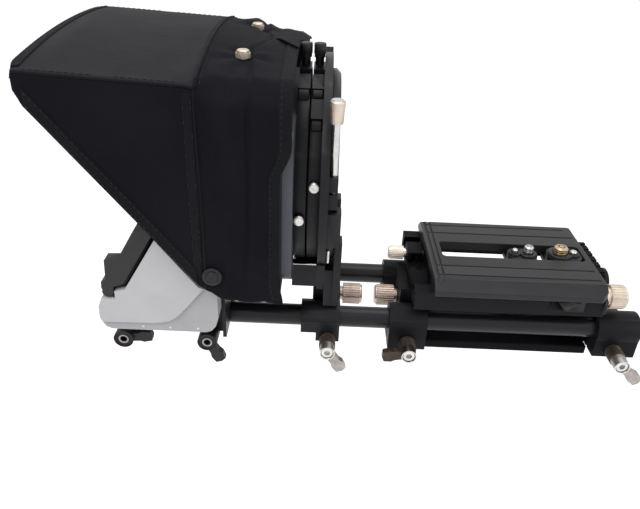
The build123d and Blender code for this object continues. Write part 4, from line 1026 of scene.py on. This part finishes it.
def add_hub(lever, x, reach):
    """Ribbed sleeve, bright rim and dark ring on a lever's hub."""
    rings = []
    for k in range(int((SLEEVE_LENGTH + reach) / SLEEVE_PITCH)):
        d = k * SLEEVE_PITCH
        rings += [(d, 5.25), (d + 0.35, 5.75), (d + 0.75, 5.75), (d + 1.05, 5.25)]
    sleeve = Shapes().turned((x, SLEEVE_Y, LEVER_Z), NEARWARD, rings, n=36)
    fit(sleeve.build(lever + "_ribbed_sleeve", "hub_brown", sharp=50), lever)
    face_y = HUB_FACE_Y - reach
    rim = Shapes().turned(
        (x, face_y, LEVER_Z), NEARWARD,
        ((-0.2, 5.25), (0.25, 5.25), (0.4, 5.0), (0.4, 4.5), (-0.2, 4.35)), n=40, caps=False)
    fit(rim.build(lever + "_face_rim", "steel", sharp=50), lever)
    ring = Shapes().turned(
        (x, face_y + 0.9, LEVER_Z), NEARWARD,
        ((0.0, 4.3), (0.5, 4.3), (0.5, 3.9), (0.0, 3.9)), n=40, caps=False)
    fit(ring.build(lever + "_dark_ring", "screw_black", sharp=50), lever)


def add_finger_ribs(lever, x, reach, angle, first, last, material):
    """Short bars across the lever's arm."""
    cos, sin = math.cos(math.radians(angle)), math.sin(math.radians(angle))
    across = np.array((-sin, 0, cos)) * FINGER_HALF
    ribs = Shapes()
    for r in np.arange(first, last, FINGER_PITCH):
        middle = np.array((x + cos * r, ARM_Y - reach, LEVER_Z + sin * r))
        ribs.tube([middle + across, middle + np.array((0, -0.15, 0)), middle - across],
                  radius=0.5, n=6)
    fit(ribs.build(lever + "_finger_ribs", material), lever)


for lever, x, reach, *_ in LEVERS:
    add_hub(lever, x, reach)
for row in LEVERS:
    add_finger_ribs(*row)

# ------------------------------------------------------------------ camera screws

REAR_SCREW_X, FRONT_SCREW_X = 74, 51


def helix(x, radius, z_low, z_high, pitch):
    per_turn = 26
    n = int((z_high - z_low) / pitch * per_turn)
    points = []
    for i in range(n + 1):
        angle = 2 * math.pi * i / per_turn
        points.append((x + math.cos(angle) * radius, math.sin(angle) * radius,
                       z_low + (z_high - z_low) * i / n))
    return points


rear_thread = Shapes().tube(helix(REAR_SCREW_X, 4.62, 64.2, 68.1, pitch=1.5875), 0.30, n=6)
fit(rear_thread.build("rear_camera_screw_thread", "brass"), "rear_screw")
front_thread = Shapes().tube(helix(FRONT_SCREW_X, 3.05, 64.0, 67.7, pitch=1.27), 0.26, n=6)
fit(front_thread.build("front_camera_screw_thread", "steel"), "front_screw")

# round recess in the top of each screw: end, x, z, radius, material
for end, x, z, radius, material in (("rear", REAR_SCREW_X, 69.52, 2.6, "hub_brown"),
                                    ("front", FRONT_SCREW_X, 68.82, 1.7, "screw_black")):
    recess = Shapes().turned(
        (x, 0, z), UPWARD,
        ((-0.1, radius), (0.03, radius), (0.05, radius * 0.8), (-0.05, radius * 0.55),
         (-0.1, 0.3)), n=24)
    fit(recess.build(end + "_camera_screw_recess", material, sharp=40), end + "_screw")

# raised collars round the screws and pins: name, x, z, inner and outer radius, body
for name, x, z, inner, outer, body in (
        ("rear_screw_collar", REAR_SCREW_X, 63.0, 5.2, 8.6, "rear_carriage"),
        ("front_screw_collar", FRONT_SCREW_X, 62.0, 3.6, 6.4, "front_carriage"),
        ("rear_pin_collar", 83.5, 63.0, 2.9, 4.6, "rear_carriage"),
        ("front_pin_collar", 41.3, 62.0, 2.4, 4.2, "front_carriage")):
    collar = Shapes().turned(
        (x, 0, z), UPWARD,
        ((-0.1, outer), (0.9, outer), (1.3, outer - 0.4), (1.3, inner + 0.3), (1.0, inner),
         (-0.1, inner)), n=40, caps=False)
    fit(collar.build(name, "screw_black", sharp=50), body)

# ------------------------------------------------------------------ plate latch, near rail

cover = Shapes()
cover.block((57.5, -45.0, 43.6), (80.5, -43.8, 53.8), chamfer=0.4)
cover.block((93.0, -45.2, 42.6), (95.6, -43.6, 53.4), chamfer=0.4)
fit(cover.build("latch_cover", "plastic", sharp=30), "base")

# tapered wedge; (x, z) outlines of its root and of its smaller near face
TONGUE_ROOT = ((60.0, 52.6), (66.5, 45.0), (69.0, 45.0), (78.0, 52.6))
TONGUE_FACE = ((62.0, 52.0), (67.2, 46.2), (68.4, 46.2), (75.5, 52.0))
tongue = Shapes().add(
    [(x, -45.0, z) for x, z in TONGUE_ROOT] + [(x, -47.2, z) for x, z in TONGUE_FACE],
    [(0, 1, 5, 4), (1, 2, 6, 5), (2, 3, 7, 6), (3, 0, 4, 7), (4, 5, 6, 7), (3, 2, 1, 0)])
fit(tongue.build("latch_tongue", "screw_black", sharp=20), "base")

# ------------------------------------------------------------------ prompter tub and flap

# small bright screw heads low on each side
trim = Shapes()
for side, _ in SIDES:
    for x in (-211.5, -194.0, -176.0):
        trim.turned((x, side * 68.4, 34.9), (0, side, 0),
                    ((0, 0.85), (0.3, 0.85), (0.42, 0.6), (0.3, 0.3)), n=16)
fit(trim.build("tub_trim_screws", "steel", sharp=40), "prompter")

# rubber edge strips where the flap meets the side walls; points are (x, z)
FLAP_EDGE = ((-220.6, 66.4), (-214.0, 77.4), (-207.4, 88.6), (-200.9, 99.4))
rubber = Shapes()
for side, _ in SIDES:
    rubber.tube([(x, side * 67.0, z) for x, z in FLAP_EDGE], radius=0.9)
fit(rubber.build("flap_rubber_edge", "felt"), "flap")

lining = Shapes().block((-227.5, -60.5, 45.4), (-172.0, 60.5, 46.2), chamfer=0.3)
fit(lining.build("tray_lining", "felt", sharp=30), "prompter")

# ------------------------------------------------------------------ filter stages

FRONT_STAGE_X, REAR_STAGE_X = -112.4, -104.1
FRONT_PIN_Z, REAR_PIN_Z = 114.5, 136.0
RING_Z, BLOCK_ORBIT = 124, 62.5      # the rim blocks lie on a circle round the lens axis

# round blocks on the rim: front x, rear x, angle round the axis
rim_blocks = Shapes()
for x0, x1, angle in ((-115.7, -109.2, 118), (-107.3, -101.2, 118), (-107.3, -101.2, 137)):
    turn = math.radians(angle)
    centre = (x0, math.cos(turn) * BLOCK_ORBIT, RING_Z + math.sin(turn) * BLOCK_ORBIT)
    rim_blocks.turned(centre, BACKWARD,
                      ((0, 3.6), (0.5, 4.1), (x1 - x0 - 0.5, 4.1), (x1 - x0, 3.6)), n=24)
fit(rim_blocks.build("stage_rim_blocks", "black", sharp=40), "stage")

bushes = Shapes()
for x, z in ((FRONT_STAGE_X, FRONT_PIN_Z), (REAR_STAGE_X, REAR_PIN_Z)):
    bushes.turned((x, -61.6, z), NEARWARD,
                  ((-2.0, 2.6), (1.4, 2.6), (1.8, 2.3), (1.8, 1.8)), n=24)
fit(bushes.build("lock_pin_bushes", "screw_black", sharp=40), "stage")

PIN_FACE_RINGS = ((-0.1, 2.7), (0.2, 2.55), (0.3, 2.1), (0.15, 1.0), (0.1, 0.3))
for end, x, z in (("front", FRONT_STAGE_X, FRONT_PIN_Z), ("rear", REAR_STAGE_X, REAR_PIN_Z)):
    face = Shapes().turned((x, -66.2, z), NEARWARD, PIN_FACE_RINGS, n=24)
    fit(face.build(end + "_lock_pin_face", "steel", sharp=50), end + "_lock_pin")

# bright steel strip along the cradle's near top edge that paints a highlight there, and a short
# stud behind the rear plate
highlight_strip_and_stud = Shapes()
highlight_strip_and_stud.block((-116.6, -42.15, 70.4), (-101.0, -41.3, 71.15), chamfer=0.2)
highlight_strip_and_stud.turned((-94.2, -50.0, 77.6), UPWARD,
                     ((0, 1.0), (0.3, 1.3), (8.2, 1.3), (8.6, 1.0)), n=20)
fit(highlight_strip_and_stud.build("cradle_highlight_strip_and_stud", "steel", sharp=40), "stage")

# bright socket rims of the prompter's draw bolts
bolt_rims = Shapes()
for x in (-231.5, -174.0):
    bolt_rims.turned((x, -53.0, 11.6), NEARWARD,
                     ((-0.1, 3.5), (0.25, 3.4), (0.3, 2.6), (0.1, 2.4), (-0.1, 2.4)),
                     n=36, caps=False)
fit(bolt_rims.build("prompter_bolt_rims", "satin", sharp=50), "prompter")

# ribbed caps of the two top lock screws
for x, body in ((FRONT_STAGE_X, "front_top_lock"), (REAR_STAGE_X, "rear_top_lock")):
    cap = Shapes().turned((x, 0, 197.0), UPWARD,
                          ((0.0, 3.3), (0.3, 3.7), (6.0, 3.7), (6.5, 3.45), (6.7, 2.0)),
                          n=72, flutes=(18, 0.3, 1, 3))
    fit(cap.build(body + "_cap", "plastic"), body)

# knurled cap over the ring screw's head
grip = Shapes().turned((-92.95, -63, 174.2), UPWARD,
                       ((0.0, 3.4), (0.4, 3.75), (11.6, 4.45), (12.3, 4.3), (12.8, 3.6)),
                       n=84, flutes=(28, 0.32, 1, 3))
fit(grip.build("ring_screw_grip", "champagne"), "ring_screw")


# ------------------------------------------------------------------ floor, light and camera

def build_floor():
    """Square floor that curves up behind the rig."""
    half, steps = 3000, 24
    floor_z = -320.0
    curve_y, curve_run, curve_rise = 1400, 1600, 900
    verts, faces = [], []
    for i in range(steps + 1):
        for j in range(steps + 1):
            x = -half + 2 * half * i / steps
            y = -half + 2 * half * j / steps
            z = floor_z + max(0.0, (y - curve_y) / curve_run) ** 2 * curve_rise
            verts.append((x, y, z))
    for i in range(steps):
        for j in range(steps):
            a, b, c, d = cell(i, j, steps + 1)
            faces.append((a, d, c, b))
    return mesh_object("studio_floor", verts, faces, "floor")


def add_area_light(name, location, target, size, power):
    light = bpy.data.lights.new(name, "AREA")
    light.shape = "RECTANGLE"
    light.size, light.size_y = size
    light.energy = power
    ob = bpy.data.objects.new(name, light)
    bpy.context.scene.collection.objects.link(ob)
    ob.location = location
    direction = Vector(target) - Vector(location)
    ob.rotation_euler = direction.to_track_quat("-Z", "Y").to_euler()


def add_camera(location, down, heading, roll, lens):
    """Camera looking along +Y, turned by angles in degrees."""
    down, heading, roll = math.radians(down), math.radians(heading), math.radians(roll)
    forward = np.array((-math.sin(heading) * math.cos(down),
                        math.cos(heading) * math.cos(down), -math.sin(down)))
    level_right = np.array((math.cos(heading), math.sin(heading), 0.0))
    level_up = np.cross(level_right, forward)
    right = math.cos(roll) * level_right + math.sin(roll) * level_up
    up = -math.sin(roll) * level_right + math.cos(roll) * level_up
    data = bpy.data.cameras.new("camera")
    data.sensor_fit = "HORIZONTAL"
    data.sensor_width = 36.0
    data.lens = lens
    data.clip_start = 0.01
    data.clip_end = 50
    camera = bpy.data.objects.new("camera", data)
    bpy.context.scene.collection.objects.link(camera)
    rows = [(right[k], up[k], -forward[k], location[k]) for k in range(3)]
    camera.matrix_world = Matrix((*rows, (0, 0, 0, 1)))
    bpy.context.scene.camera = camera


build_floor()

world = bpy.data.worlds.new("studio")
world.use_nodes = True
set_inputs(world.node_tree.nodes["Background"], {"Color": (1.0, 1.0, 1.0, 1), "Strength": 1.05})
bpy.context.scene.world = world

add_area_light("key", location=(-0.7, -0.9, 1.3), target=(-0.05, 0, 0.08),
               size=(0.8, 0.6), power=11)
add_area_light("top", location=(0.0, 0.2, 1.5), target=(-0.05, 0, 0.08),
               size=(1.4, 1.0), power=10)
add_area_light("fill", location=(1.0, -0.7, 0.5), target=(0.0, 0, 0.08),
               size=(0.5, 0.8), power=4)
add_camera(location=(-0.100, -0.399767, 0.285741), down=30.052, heading=-0.166, roll=2.488,
           lens=35.70834375)
bpy.context.scene.view_settings.view_transform = "Standard"
bpy.context.scene.view_settings.look = "None"
